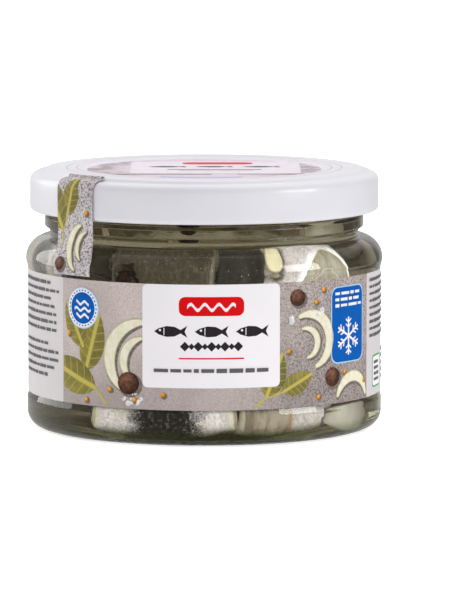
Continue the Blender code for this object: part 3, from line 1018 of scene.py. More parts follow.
def onionMaterial():
    material, tree, shader = newMaterial(
        "pickledOnion", roughness=0.28, subsurface=0.25, subsurfaceRadius=(1.0, 0.9, 0.5),
        subsurfaceScale=1.2 * mm)
    lines = grain(stretch(attribute(tree, "onionPlace"), (2.0, 0.2, 0.0)), 1.6, 2.0)
    colour = blend(ramp(lines, 0.35, 0.9), onionLook["pale"], onionLook["deep"])
    # The piece's tone darkens some pieces as painted shade
    setLook(shader, colour=tinted(colour, attribute(tree, "onionTone")))
    bump(shader, lines, 0.08, onionLook["veins"])
    return material


def makeOnion():
    onion = onionPieces
    rows, columns, curve = onion["rows"], onion["columns"], onion["curve"]
    material = onionMaterial()
    for number, piece in enumerate(onion["places"], start=1):
        local = onionFrame(piece)
        points, places, rings = [], [], []
        for row in range(1, rows):
            turn = math.pi * row / rows
            north = math.cos(turn) * piece["tall"] / 2 / curve
            reach = math.sin(turn) * piece["wide"] / 2 / curve
            ring = []
            for face in (1, -1):
                for column in range(columns + 1):
                    side = 2.0 * column / columns - 1.0
                    edge = math.sqrt(1.0 - 0.75 * abs(side) ** 4) * min(1.0, math.sin(turn) * 2.2) ** 0.5
                    radius = curve + face * onion["thickness"] / 2 * edge
                    east = side * face * reach
                    across, high = radius * math.cos(north), radius * math.sin(north)
                    spot = Vector((across * math.sin(east), curve - across * math.cos(east), high))
                    ring.append(len(points))
                    points.append(local @ spot * mm)
                    places.append((side * face * piece["wide"] / 2, north * curve, 0.0))
            rings.append(ring)
        faces = ringFaces(rings) + [tuple(rings[0]), tuple(rings[-1])]
        given = {"onionPlace": places, "onionTone": [onionLook["tonesAndShade"][number - 1]] * len(points)}
        made = meshFrom(f"onionPiece{number}", points, faces, material, given, 60.0)
        settle(made, "onion", f"onion_piece_{number}")


def berryMaterial():
    material, tree, shader = newMaterial("allspiceSkin", roughness=0.55)
    spot = inMillimetres(tree)
    patches = clouds(spot, *berryLook["clouds"])
    setLook(shader, colour=blend(patches, berryLook["dark"], berryLook["light"]))
    bump(shader, grain(spot, 0.5, 3.0, 0.6), 0.12, 0.9)
    return material


def makeBerries():
    material = berryMaterial()
    radius = allspice["radius"]
    for number, piece in enumerate(allspice["places"], start=1):
        shape = bmesh.new()
        bmesh.ops.create_icosphere(shape, subdivisions=4, radius=radius)
        for vertex in shape.verts:
            ridged = abs(noise.noise(vertex.co * 0.9 + Vector((number * 9.0, 0.0, 0.0))))
            sunk = allspice["sunk"] * max(0.0, vertex.co.z / radius - 0.8)
            vertex.co *= 1.0 - (allspice["wrinkle"] * ridged * 2.0 + sunk) / radius
            vertex.co = (pieceSpot(piece) + vertex.co) * mm
        settle(finishShape(f"allspice{number}", shape, material, 70.0), "allspice", f"allspice_{number}")


makeOnion()
makeBerries()
print("onion and allspice are made")


# Lid

twistLid = {
    "segments": 360,
    "radius": 42.65,
    "bottom": 53.0,
    "shelf": 62.4,
    "top": 63.2,
    "panel": 62.7,
    "ringOuter": 38.8,
    "ringInner": 30.0,
    "ringSlope": 0.7,
    "skirtCorner": 2.2,
    "sheet": 0.5,
    "lacquer": (0.735, 0.725, 0.765),
    "shade": (0.705, 0.695, 0.74),
    "shadeClouds": (18.0, 1.0, 0.5, 0.3, 0.7),
    "roughness": (4.0, 2.0, 0.5, 0.3, 0.7, 0.28, 0.38),
}


def lidProfile():
    lid, thick = twistLid, twistLid["sheet"]
    return roundCorners([
        (0.0, lid["panel"], 0),
        (lid["ringInner"] - lid["ringSlope"], lid["panel"], 0.3),
        (lid["ringInner"], lid["top"], 0.3),
        (lid["ringOuter"], lid["top"], 0.4),
        (lid["ringOuter"] + lid["ringSlope"], lid["shelf"], 0.4),
        (lid["radius"] - 0.05, lid["shelf"], 2.1),
        (lid["radius"], lid["bottom"], 1.1),
        (lid["radius"] - 2.2, lid["bottom"], 0.9),
        (lid["radius"] - 2.2, lid["bottom"] + 1.9, 0.5),
        (lid["radius"] - thick, lid["bottom"] + 2.1, 0.2),
        (lid["radius"] - thick, lid["shelf"] - thick, 1.6),
        (lid["ringOuter"] + 0.2, lid["shelf"] - thick, 0.3),
        (lid["ringOuter"] - 0.5, lid["top"] - thick, 0.3),
        (lid["ringInner"] + 0.3, lid["top"] - thick, 0.3),
        (lid["ringInner"] - 0.4, lid["panel"] - thick, 0.3),
        (0.0, lid["panel"] - thick, 0),
    ])


def lacquerMaterial():
    material, tree, shader = newMaterial("lidLacquer", coat=0.2, coatRoughness=0.15)
    spot = inMillimetres(tree)
    colour = blend(clouds(spot, *twistLid["shadeClouds"]), twistLid["lacquer"], twistLid["shade"])
    setLook(shader, colour=colour, roughness=clouds(spot, *twistLid["roughness"]))
    bump(shader, maths("ADD", grain(spot, 0.8, 1.0), times(grain(spot, 9.0), 4.0)), 0.02, 0.5)
    return material


settle(turnedPiece("twistLid", spacedOut(lidProfile(), 3.0), twistLid["segments"], lacquerMaterial()),
       "lid_paint", "twist_lid")
print("lid is made")


# Label and its print. Places are (along, up): along the paper from the jar's front and up from the floor

label = {
    "inner": 43.0,
    "outer": 43.2,
    "bottom": 8.85,
    "top": 39.0,
    "gapAngle": 15.0,
    "steps": 345,
    "stone": ((0.575, 0.49, 0.465), (0.12, 0.095, 0.09)),
    "stoneGrains": (0.12, 0.8),
}

# The printed stone of label and strip: clouds and levels as for the skin
stoneLook = {
    "grains": (0.5, 3.0, 0.8, 0.36, 0.56),
    "specks": 0.9,
    "speckLevels": (0.10, 0.32),
    "fine": (0.3, 2.0, 0.7, 0.3, 0.7, 0.80, 1.12),
    "clouds": (14.0, 2.0, 0.5, 0.35, 0.65, 0.90, 1.08),
    "coarseAcross": (2.0, 30.0),
    "fadeDown": (9.0, 30.0, 0.75, 1.0),
    "fadeRight": (5.0, 26.0, 1.0, 0.86),
}

# How far a print reaches to the left and right, and its longest straight piece, on each surface
printSpans = {}
wholeLabel = (-66.0, 92.0, 1.6)
stonyLabel = (-38.6, 49.0, 1.6)
inkLayer = 0.02
inkDepth = 0.03


def onLabel(along, up, lift):
    return aroundJar(math.degrees(along / label["outer"]), label["outer"] + lift, up)


def stoneMaterial(name, light, dark, coarse):
    # Pale granular stone in print: almost even where coarse is 0, with dark grains where it is 1.
    look = stoneLook
    material, tree, shader = newMaterial(name, roughness=0.5, specular=0.2)
    spot = inMillimetres(tree)
    place = split(spot)
    share = ramp(place["X"], *look["coarseAcross"], *coarse)
    specks = ramp(cells(spot, look["specks"]), *look["speckLevels"])
    pale = times(clouds(spot, *look["grains"]), specks)
    stone = blend(times(share, maths("SUBTRACT", 1.0, pale)), light, dark)
    # The picture's light fades downwards and to the right
    fade = times(ramp(place["Z"], *look["fadeDown"]), ramp(place["X"], *look["fadeRight"]))
    tone = times(clouds(spot, *look["fine"]), times(clouds(spot, *look["clouds"]), fade))
    setLook(shader, colour=tinted(stone, tone))
    bump(shader, grain(spot, 0.6), 0.01, 0.4)
    return material


def inkMaterial(name, colour, second=None, size=2.0):
    material, tree, shader = newMaterial(name, roughness=0.55, specular=0.08)
    spot = inMillimetres(tree)
    other = second or tuple(part * 0.93 for part in colour)
    setLook(shader, colour=blend(ramp(grain(spot, size), 0.35, 0.65), colour, other))
    bump(shader, grain(spot, 0.5), 0.01, 0.3)
    return material


def plainTwoTone(name, size, light, dark, **values):
    material, tree, shader = newMaterial(name, **values)
    tone = ramp(grain(inMillimetres(tree), size), 0.35, 0.65)
    setLook(shader, colour=blend(tone, light, dark))
    return material


def newShapeTree(name, words):
    # A Geometry Nodes tree with a geometry socket on both sides and a number input per word.
    tree = bpy.data.node_groups.new(name, "GeometryNodeTree")
    tree.interface.new_socket("Geometry", in_out="INPUT", socket_type="NodeSocketGeometry")
    for word in words:
        kind = "NodeSocketInt" if word == "Seed" else "NodeSocketFloat"
        tree.interface.new_socket(word, in_out="INPUT", socket_type=kind)
    tree.interface.new_socket("Geometry", in_out="OUTPUT", socket_type="NodeSocketGeometry")
    return tree, addNode(tree, "NodeGroupInput").outputs


def closeTree(tree, spots, thing, turn, scale, material):
    # The thing stands at every spot, as real and coloured geometry.
    inputs = {"Points": spots, "Instance": thing, "Rotation": turn, "Scale": scale}
    placed = addNode(tree, "GeometryNodeInstanceOnPoints", inputs).outputs[0]
    real = addNode(tree, "GeometryNodeRealizeInstances", {0: placed}).outputs[0]
    coloured = addNode(tree, "GeometryNodeSetMaterial", {"Geometry": real, "Material": material}).outputs[0]
    addNode(tree, "NodeGroupOutput", {0: coloured})
    return tree


def scatterTree(material):
    # Crumbs at random places on the carrier's faces, flat along them, of random size and turn.
    tree, given = newShapeTree("scatteredCrumbs", ("Density", "Smallest", "Largest", "Flatness", "Seed"))
    seed = given["Seed"]
    inputs = {"Mesh": given["Geometry"], "Density": given["Density"], "Seed": seed}
    spots = addNode(tree, "GeometryNodeDistributePointsOnFaces", inputs).outputs
    crumb = addNode(tree, "GeometryNodeMeshIcoSphere", {"Radius": 1.0, "Subdivisions": 1}).outputs["Mesh"]
    inputs = {2: given["Smallest"], 3: given["Largest"], "Seed": seed}
    size = addNode(tree, "FunctionNodeRandomValue", inputs, data_type="FLOAT").outputs[1]
    inputs = {1: (0.0, 0.0, 6.28), "Seed": seed}
    turn = addNode(tree, "FunctionNodeRandomValue", inputs, data_type="FLOAT_VECTOR").outputs[0]
    inputs = {0: spots["Rotation"], 1: turn}
    turned = addNode(tree, "FunctionNodeRotateRotation", inputs, rotation_space="LOCAL").outputs[0]
    scale = addNode(tree, "ShaderNodeCombineXYZ", {0: size, 1: size, 2: times(size, given["Flatness"])})
    return closeTree(tree, spots["Points"], crumb, turned, scale.outputs[0], material)


def barTree(material):
    # A thin bar at each point of the carrier, as wide as the point says and turned to face outwards.
    tree, given = newShapeTree("printedBars", ("Height", "Thickness", "Seed"))
    block = addNode(tree, "GeometryNodeMeshCube", {"Size": (1.0, 1.0, 1.0)}).outputs["Mesh"]
    wide, turn = (
        addNode(tree, "GeometryNodeInputNamedAttribute", {"Name": name}, data_type="FLOAT").outputs[0]
        for name in ("barWidth", "barTurn"))
    inputs = {2: 0.75, 3: 1.1, "Seed": given["Seed"]}
    uneven = addNode(tree, "FunctionNodeRandomValue", inputs, data_type="FLOAT").outputs[1]
    inputs = {0: wide, 1: given["Thickness"], 2: times(given["Height"], uneven)}
    scale = addNode(tree, "ShaderNodeCombineXYZ", inputs).outputs[0]
    facing = addNode(tree, "ShaderNodeCombineXYZ", {2: turn}).outputs[0]
    return closeTree(tree, given["Geometry"], block, facing, scale, material)


def grownPiece(name, carrier, tree, **values):
    # Runs a tree on the carrier mesh and keeps what it makes as a plain mesh.
    piece = bpy.data.objects.new(name, carrier)
    bpy.context.scene.collection.objects.link(piece)
    grow = piece.modifiers.new("grow", "NODES")
    grow.node_group = tree
    for item in tree.interface.items_tree:
        if item.in_out == "INPUT" and item.name in values:
            grow[item.identifier] = values[item.name]
    grown = piece.evaluated_get(bpy.context.evaluated_depsgraph_get())
    made = bpy.data.meshes.new_from_object(grown)
    piece.modifiers.remove(grow)
    piece.data = made
    made.name = name
    bpy.data.meshes.remove(carrier)
    return piece


def makeLabel():
    # The paper shell, open at the back by the gap.
    half = math.radians(180.0 - label["gapAngle"] / 2) * label["outer"]
    low, high, depth = label["bottom"], label["top"], label["inner"] - label["outer"]
    points, rings = [], []
    for step in range(label["steps"] + 1):
        along = -half + 2.0 * half * step / label["steps"]
        rings.append(range(len(points), len(points) + 4))
        for up, lift in ((low, depth), (high, depth), (high, 0.0), (low, 0.0)):
            points.append(onLabel(along, up, lift))
    faces = ringFaces(rings) + [tuple(rings[0]), tuple(rings[-1])]
    stone = stoneMaterial("labelStone", *label["stone"], label["stoneGrains"])
    settle(meshFrom("labelPaper", points, faces, stone), "label_print", "label")


def clipped(outline, limit, side):
    # Cuts off what lies beyond a limit across the paper, on its left (side -1) or right (side 1).
    kept = []
    for here, there in zip(outline, outline[1:] + outline[:1]):
        here, there = Vector(here), Vector(there)
        inside, follows = (here.x - limit) * side <= 0.0, (there.x - limit) * side <= 0.0
        if inside:
            kept.append(here)
        if inside != follows:
            kept.append(here.lerp(there, (limit - here.x) / (there.x - here.x)))
    return kept


def printShape(group, outline, layer, mapping=onLabel, motif=None):
    # Adds a flat closed outline to a group of print, as a thin slab bent onto the surface.
    # The motif gives the outline's own place and turn, so that its material can follow it.
    left, right, cell = printSpans[mapping]
    outline = clipped(clipped(outline, left, -1), right, 1)
    if len(outline) < 3:
        return
    shape = bmesh.new()
    base = shape.faces.new([shape.verts.new((point.x, point.y, -inkDepth)) for point in outline])
    raised = bmesh.ops.extrude_face_region(shape, geom=[base])
    top = [item for item in raised["geom"] if isinstance(item, bmesh.types.BMVert)]
    bmesh.ops.translate(shape, verts=top, vec=(0.0, 0.0, inkDepth + layer * inkLayer))
    for axis in (0, 1):
        low = min(point[axis] for point in outline)
        high = max(point[axis] for point in outline)
        for part in range(1, math.ceil((high - low) / cell)):
            cut, facing = Vector(), Vector()
            cut[axis] = low + part * cell
            facing[axis] = 1.0
            geometry = shape.verts[:] + shape.edges[:] + shape.faces[:]
            bmesh.ops.bisect_plane(shape, geom=geometry, dist=1e-5, plane_co=cut, plane_no=facing)
    start = len(group["points"])
    centre, turn, size = motif or (Vector((0.0, 0.0)), 0.0, Vector((1.0, 1.0)))
    unturn = Matrix.Rotation(-turn, 2)
    shape.verts.index_update()
    for vertex in shape.verts:
        flat = unturn @ (vertex.co.xy - centre)
        group["motif"].append((flat.x / size.x, flat.y / size.y, start * 0.37 % 7.0))
        group["points"].append(mapping(*vertex.co))
    for face in shape.faces:
        group["faces"].append(tuple(start + vertex.index for vertex in face.verts))
    shape.free()


def newInk(names):
    return {name: {"points": [], "faces": [], "motif": []} for name in names}


def finishInk(ink, prefix, materials, slot):
    for name, group in ink.items():
        facts = {"motif": group["motif"]}
        made = meshFrom(prefix + name, group["points"], group["faces"], materials[name], facts, 35.0)
        settle(made, slot)


def box(left, right, low, high, rounding=0.0):
    corners = [(left, low), (right, low), (right, high), (left, high)]
    if not rounding:
        return corners
    return roundCorners([(*corner, rounding) for corner in corners], steps=4, closed=True)


def inset(frame, by):
    left, right, low, high = frame
    return left + by, right - by, low + by, high - by


def moved(outline, centre, turn=0.0):
    spin = Matrix.Rotation(turn, 2)
    return [spin @ Vector(point) + Vector(centre) for point in outline]


def oval(wide, tall, steps=16):
    turns = [2.0 * math.pi * step / steps for step in range(steps)]
    return [Vector((wide * math.cos(turn), tall * math.sin(turn))) for turn in turns]


def leafOutline(length, wide, steps=9):
    # Along X from the stalk to the tip, widest before the middle.
    upper = []
    for step in range(steps + 1):
        share = step / steps
        half = wide / 2 * math.sin(math.pi * share ** 0.85) ** 0.8
        upper.append((length * share, half))
    lower = [(across, -half) for across, half in upper[1:-1]]
    return upper + lower[::-1]


def arcBand(radius, thick, start, end, steps, pointed=False):
    # A band along an arc. A pointed one narrows to both ends, as a cut ring of onion does.
    outer, inner = [], []
    for step in range(steps + 1):
        share = step / steps
        half = thick / 2
        if pointed:
            half *= math.sin(math.pi * min(0.97, max(0.03, share))) ** 0.5
        outer.append(onCircle(start + (end - start) * share, radius + half))
        inner.append(onCircle(start + (end - start) * share, radius - half))
    return outer + inner[::-1]


def crescent(radius, thick, start, end):
    return arcBand(radius, thick, start, end, 14, True)


def fishOutline(length, wide):
    body = [(-0.5, 0.0), (-0.36, 0.22), (-0.12, 0.38), (0.12, 0.34), (0.3, 0.12), (0.5, 0.42)]
    below = [(across, -up) for across, up in body[1:]]
    return [Vector((across * length, up * wide)) for across, up in body + [(0.42, 0.0)] + below[::-1]]


printPlan = {
    "panel": (-14.93, 18.47, 14.25, 38.97),
    "bar": (-6.03, 9.5, 31.5, 36.05),
    "fishRow": {"centres": (-8.0, 1.77, 11.54), "up": 27.75, "length": 8.0, "wide": 3.4},
    "dots": {"from": -4.6, "to": 8.1, "up": 24.2, "count": 9, "size": 0.55},
    "rule": (-6.03, 9.5, 21.15, 21.5),
    "leftBadge": {"place": (-31.8, 32.2), "radius": 5.0},
    "rightBadge": (33.6, 46.6, 18.4, 37.0),
    "leftPanel": (-66.0, -38.9, 8.9, 38.95),
    "rightPanel": (49.2, 92.0, 8.9, 38.95),
    "greenBox": (53.1, 61.0, 10.7, 18.6),
    # Place, turn, length, number of leaves, their length and width
    "sprigs": [
        ((-24.5, 9.4), 118.0, 15.0, 3, 19.0, 9.4),
        ((12.0, 9.2), 26.0, 8.0, 2, 15.0, 8.4),
    ],
    # Place, radius, thickness, where the arc starts and ends
    "rings": [
        ((-14.6, 20.6), 9.2, 3.4, 84.0, 232.0),
        ((-14.2, 20.2), 5.8, 2.4, 96.0, 226.0),
        ((26.6, 24.6), 6.6, 3.0, -74.0, 118.0),
        ((25.6, 24.2), 3.6, 1.9, -84.0, 108.0),
        ((42.0, 8.6), 6.4, 2.8, 10.0, 165.0),
    ],
    "berries": [(-18.6, 15.0, 2.8), (34.2, 15.4, 2.4), (23.4, 35.2, 2.1)],
    "seeds": [
        (-23.6, 13.2), (-30.6, 10.2), (-17.0, 11.0), (-36.4, 25.8), (-9.8, 12.4), (28.8, 33.8),
        (31.2, 36.6), (21.0, 22.4), (29.6, 11.0), (38.6, 16.2), (47.2, 13.4),
    ],
    "salt": [(-17.6, 11.2, 2.6), (29.6, 31.4, 1.8), (21.4, 30.0, 1.2)],
    # Rows of bars stand for small lettering. A block is left, right, highest and lowest row, step.
    "smallBars": {
        "Text": {"colour": (0.13, 0.125, 0.13), "height": 0.75, "lift": 0.1, "ragged": 0.3, "blocks": [
            (-62.0, -40.4, 37.2, 25.6, 1.9), (-62.0, -40.4, 22.4, 14.6, 1.9), (51.0, 76.0, 37.2, 22.0, 1.7),
            (54.4, 59.8, 16.8, 12.6, 1.4), (63.5, 84.0, 19.0, 11.0, 1.7)]},
        "Faint": {"colour": (0.12, 0.115, 0.12), "height": 0.95, "lift": 0.24, "ragged": 0.0, "blocks": [
            (-12.1, 15.5, 18.4, 18.4, 2.0)]},
        "Pale": {"colour": (0.78, 0.80, 0.86), "height": 0.75, "lift": 0.24, "ragged": 0.3, "blocks": [
            (34.9, 45.6, 35.3, 31.0, 1.45)]},
    },
}

leafLook = {
    "dark": (0.27, 0.215, 0.045),
    "shade": (0.175, 0.165, 0.035),
    "light": (0.50, 0.42, 0.09),
    "clouds": (2.2, 3.0, 0.6, 0.35, 0.68),
    "veins": 7.0,
    "veinSlant": -1.6,
    "veinShare": 0.55,
}


def leafMaterial():
    # The midrib and the side veins follow the leaf's own length.
    material, tree, shader = newMaterial("printedLeaf", roughness=0.48, specular=0.3)
    place = split(attribute(tree, "motif"))
    side = maths("ABSOLUTE", place["Y"])
    veins = maths("MULTIPLY_ADD", place["X"], leafLook["veins"], times(side, leafLook["veinSlant"]))
    veins = maths("ABSOLUTE", maths("SUBTRACT", maths("FRACT", veins), 0.5))
    veins = times(ramp(veins, 0.09, 0.03), leafLook["veinShare"])
    green = blend(clouds(inMillimetres(tree), *leafLook["clouds"]), leafLook["dark"], leafLook["shade"])
    green = tinted(green, ramp(place["Y"], -0.5, 0.5, 0.78, 1.12))
    light = maths("MAXIMUM", ramp(side, 0.10, 0.04), veins)
    setLook(shader, colour=blend(light, green, leafLook["light"]))
    return material


def roundMaterial(name, colour, second, size):
    # A printed ball, lit from the upper left.
    material, tree, shader = newMaterial(name, roughness=0.5, specular=0.15)
    flat = stretch(attribute(tree, "motif"), (1.0, 1.0, 0.0))
    away = vectorMaths("LENGTH", vectorMaths("ADD", flat, (0.3, -0.35, 0.0))[0])["Value"]
    tone = clouds(inMillimetres(tree), size, 3.0, 0.6, 0.35, 0.65)
    setLook(shader, colour=tinted(blend(tone, colour, second), ramp(away, 0.1, 1.3, 1.25, 0.35)))
    return material


def sprig(ink, plan, mapping, seed):
    # A bent stalk with small leaves on both sides and one at its tip.
    place, turn, reach, leaves, leaf, wide = plan
    rng = random.Random(seed)
    spine = []
    for step in range(leaves + 1):
        bent = turn + 14.0 * math.sin(math.pi * step / leaves)
        spine.append(Vector(place) + onCircle(bent, reach * step / leaves))
    aside = onCircle(turn + 90.0, 0.25)
    stalk = [point + aside for point in spine] + [point - aside for point in spine[::-1]]
    printShape(ink["Stalks"], stalk, 2, mapping)
    for number, point in enumerate(spine[1:], start=1):
        side = 1 if number % 2 else -1
        lean = 0.0 if number == leaves else side * math.radians(rng.uniform(38.0, 56.0))
        length = leaf * (1.0 - 0.35 * number / leaves) * rng.uniform(0.9, 1.1)
        size = Vector((length, wide * length / leaf))
        turned = math.radians(turn) + lean
        outline = moved(leafOutline(*size), point, turned)
        printShape(ink["Leaves"], outline, 3 + number % 2, mapping, (point, turned, size))


def makePanelPrint(ink):
    plan = printPlan
    left, right, low, high = plan["bar"]
    wave = [(left + 2.0 + part * 0.48, low + 2.5 + 0.75 * math.sin(part * 0.9)) for part in range(25)]
    printShape(ink["White"], box(*plan["panel"], 1.2), 9)
    printShape(ink["Red"], box(*plan["bar"], 1.5), 10)
    printShape(ink["White"], wave + [(across, up - 0.8) for across, up in wave[::-1]], 11)
    printShape(ink["Red"], box(*plan["rule"]), 10)
    fish = plan["fishRow"]
    for centre in fish["centres"]:
        eye = (centre - fish["length"] * 0.32, fish["up"] + 0.3)
        gill = (centre - fish["length"] * 0.2, fish["up"])
        printShape(ink["Black"], moved(fishOutline(fish["length"], fish["wide"]), (centre, fish["up"])), 10)
        printShape(ink["White"], moved(oval(0.28, 0.28, 10), eye), 11)
        printShape(ink["White"], moved(box(-0.09, 0.09, -0.85, 0.85), gill), 11)
    dots = plan["dots"]
    for number in range(dots["count"]):
        across = dots["from"] + (dots["to"] - dots["from"]) * number / (dots["count"] - 1)
        size = dots["size"] * (1.0 if number % 2 else 1.5)
        printShape(ink["Black"], moved(box(-size, size, -size, size), (across, dots["up"]), math.pi / 4), 10)


def makeLeftBadge(ink):
    # Pale waves on a blue disc, in a ring of dots
    badge = printPlan["leftBadge"]
    centre, radius = Vector(badge["place"]), badge["radius"]
    for colour, size, layer in (("PaleBlue", 1.0, 6), ("White", 0.94, 7), ("Blue", 0.76, 8)):
        printShape(ink[colour], moved(oval(radius * size, radius * size, 40), centre), layer)
    for number in range(28):
        turn = 360.0 * number / 28
        spot = centre + onCircle(turn, radius * 0.85)
        printShape(ink["Blue"], moved(box(-0.16, 0.16, -0.22, 0.22), spot, math.radians(turn)), 8)
    for row in (-1, 0, 1):
        reach = 2.6 if row == 0 else 2.0
        steps = [reach * (part / 6.0 - 1.0) for part in range(13)]
        top = [centre + Vector((across, row * 1.55 + 0.4 * math.sin(across * 2.4))) for across in steps]
        printShape(ink["White"], top + [point - Vector((0.0, 0.65)) for point in top[::-1]], 9)


def makeRightBadge(ink):
    # A snowflake under plain pale bars
    badge = printPlan["rightBadge"]
    printShape(ink["PaleBlue"], box(*badge, 2.2), 5)
    printShape(ink["Blue"], box(*inset(badge, 0.3), 2.0), 6)
    centre = Vector(((badge[0] + badge[1]) / 2, badge[2] + 6.4))
    for arm in range(6):
        turn = 60.0 * arm + 30.0
        printShape(ink["White"], moved(box(0.0, 4.6, -0.26, 0.26), centre, math.radians(turn)), 7)
        for reach in (2.1, 3.3):
            for lean in (52.0, -52.0):
                spot = centre + onCircle(turn, reach)
                branch = moved(box(0.0, 1.35, -0.19, 0.19), spot, math.radians(turn + lean))
                printShape(ink["White"], branch, 7)


def makeFoodPrint(ink, plan, mapping, seed):
    for number, sprigPlan in enumerate(plan["sprigs"]):
        sprig(ink, sprigPlan, mapping, seed + number)
    for place, radius, thick, start, end in plan["rings"]:
        centre = Vector(place)
        under = moved(crescent(radius, thick + 0.7, start, end), centre + Vector((0.3, -0.35)))
        inner = moved(crescent(radius - 0.05, thick - 0.5, start + 3, end - 3), centre)
        printShape(ink["Shadows"], under, 1, mapping)
        printShape(ink["OnionEdge"], moved(crescent(radius, thick, start, end), centre), 5, mapping)
        printShape(ink["Onion"], inner, 6, mapping)
    for across, up, size in plan["berries"]:
        under = moved(oval(size * 1.12, size * 1.05), (across + 0.45, up - 0.5))
        printShape(ink["Shadows"], under, 5, mapping)
        motif = (Vector((across, up)), 0.0, Vector((size, size)))
        printShape(ink["Berries"], moved(oval(size, size * 0.96, 24), (across, up)), 7, mapping, motif)
    for number, (across, up) in enumerate(plan["seeds"]):
        printShape(ink["Shadows"], moved(oval(0.75, 0.7, 12), (across + 0.25, up - 0.3)), 5, mapping)
        motif = (Vector((across, up)), 0.0, Vector((0.75, 0.75)))
        outline = moved(oval(0.72, 0.62, 12), (across, up), number * 0.8)
        printShape(ink["Seeds"], outline, 7, mapping, motif)


def makeSmallBars():
    for number, (kind, bars) in enumerate(printPlan["smallBars"].items()):
        rng = random.Random(number + 5)
        points, widths, turns = [], [], []
        for left, right, up, low, step in bars["blocks"]:
            while up > low - 0.01:
                across = left
                last = right - rng.uniform(0.0, bars["ragged"]) * (right - left)
                while across < last - 0.6:
                    wide = min(rng.uniform(1.2, 4.0), last - across)
                    spot = across + wide / 2
                    points.append(onLabel(spot, up, bars["lift"]))
                    widths.append(wide * mm)
                    turns.append(spot / label["outer"])
                    across += wide + 0.55
                up -= step
        carrier = plainMesh("barPlaces", points, [])
        for fact, values in (("barWidth", widths), ("barTurn", turns)):
            carrier.attributes.new(fact, "FLOAT", "POINT").data.foreach_set("value", values)
        tree = barTree(inkMaterial(kind.lower() + "Ink", bars["colour"]))
        piece = grownPiece(
            f"print{kind}Bars", carrier, tree, Height=bars["height"] * mm, Thickness=0.05 * mm, Seed=number)
        settle(piece, "label_print")


def makeSalt():
    # Small curved patches carry the printed crumbs of salt.
    points, faces = [], []
    for across, up, radius in printPlan["salt"]:
        patch = [onLabel(across + spot.x, up + spot.y, 0.06) for spot in oval(radius, radius * 0.6, 20)]
        faces.append(tuple(range(len(points), len(points) + len(patch))))
        points += patch
    material = plainTwoTone(
        "printedSalt", 0.7, (0.80, 0.79, 0.78), (0.55, 0.54, 0.55), roughness=0.5, specular=0.2)
    piece = grownPiece(
        "printSalt", plainMesh("saltPatches", points, faces), scatterTree(material), Density=900000.0,
        Smallest=0.3 * mm, Largest=0.9 * mm, Flatness=0.12, Seed=3)
    settle(piece, "label_print")


printInks = {
    "White": inkMaterial("whiteInk", (0.83, 0.80, 0.83), (0.81, 0.785, 0.815), 12.0),
    "Red": inkMaterial("redInk", (0.68, 0.003, 0.006)),
    "Black": inkMaterial("blackInk", (0.025, 0.022, 0.024)),
    "Blue": inkMaterial("blueInk", (0.0, 0.10, 0.43)),
    "PaleBlue": inkMaterial("paleBlueInk", (0.42, 0.63, 0.80)),
    "Grey": inkMaterial("greyInk", (0.62, 0.585, 0.59), (0.60, 0.57, 0.575), 9.0),
    "Green": inkMaterial("greenInk", (0.03, 0.36, 0.12)),
    "Onion": inkMaterial("onionInk", (0.80, 0.75, 0.62), (0.72, 0.68, 0.50), 1.4),
    "OnionEdge": inkMaterial("onionEdgeInk", (0.50, 0.50, 0.30)),
    "Berries": roundMaterial("berryInk", (0.085, 0.036, 0.022), (0.20, 0.085, 0.05), 0.7),
    "Seeds": roundMaterial("seedInk", (0.80, 0.36, 0.05), (0.60, 0.24, 0.03), 0.7),
    "Shadows": inkMaterial("shadowInk", (0.14, 0.11, 0.10), (0.22, 0.18, 0.165), 0.6),
    "Leaves": leafMaterial(),
    "Stalks": inkMaterial("stalkInk", leafLook["light"]),
}


def makePrint():
    plan, ink = printPlan, newInk(printInks)
    printSpans[onLabel] = wholeLabel
    makePanelPrint(ink)
    makeLeftBadge(ink)
    makeRightBadge(ink)
    # The printed food stays on the stone
    printSpans[onLabel] = stonyLabel
    makeFoodPrint(ink, plan, onLabel, 3)
    printSpans[onLabel] = wholeLabel
    printShape(ink["Grey"], box(*plan["leftPanel"]), 1)
    printShape(ink["Grey"], box(*plan["rightPanel"]), 1)
    printShape(ink["Green"], box(*plan["greenBox"], 1.2), 2)
    printShape(ink["White"], box(*inset(plan["greenBox"], 0.4), 0.9), 3)
    finishInk(ink, "print", printInks, "label_print")


makeLabel()
makePrint()
makeSmallBars()
makeSalt()
print("label and its print are made")


# Print on the lid: a washed-out echo of the label

lidPrint = {
    "disc": 28.6,
    "panel": (-18.0, 23.5, -12.5, 20.5),
    "bar": (-5.5, 12.0, 12.5, 18.5),
    "fish": {"centres": (-9.0, 2.5, 14.0), "up": 6.0, "length": 9.5, "wide": 5.0},
    "lines": (31.2, 33.6),
    # Colour, box, rounding and layer
    "boxes": [
        ("Dark", (-9.0, 14.0, -2.4, -1.0), 0.0, 4),
        ("Red", (-6.0, 12.0, -5.4, -4.8), 0.0, 4),
        ("Wedge", (-24.0, 2.0, -15.6, -13.8), 0.8, 2),
        ("Wedge", (8.0, 24.0, -15.2, -13.9), 0.6, 2),
    ],
    "blueArc": (24.6, 3.0, 244.0, 292.0, 24),
    "sideLevels": (10.0, 24.0),
    "rimLevels": (18.0, 26.0),
    "darkClouds": (5.0, 4.0, 0.65, 0.35, 0.6),
    "darkShare": 0.85,
    "fine": (0.6, 2.0, 0.5, 0.3, 0.7, 0.88, 1.08),
    "tints": {
        "Disc": (0.60, 0.52, 0.57), "Panel": (0.68, 0.63, 0.68), "Red": (0.56, 0.06, 0.09),
        "Dark": (0.12, 0.11, 0.14), "Wedge": (0.24, 0.19, 0.20), "Line": (0.62, 0.50, 0.55),
        "Blue": (0.32, 0.36, 0.55),
    },
}


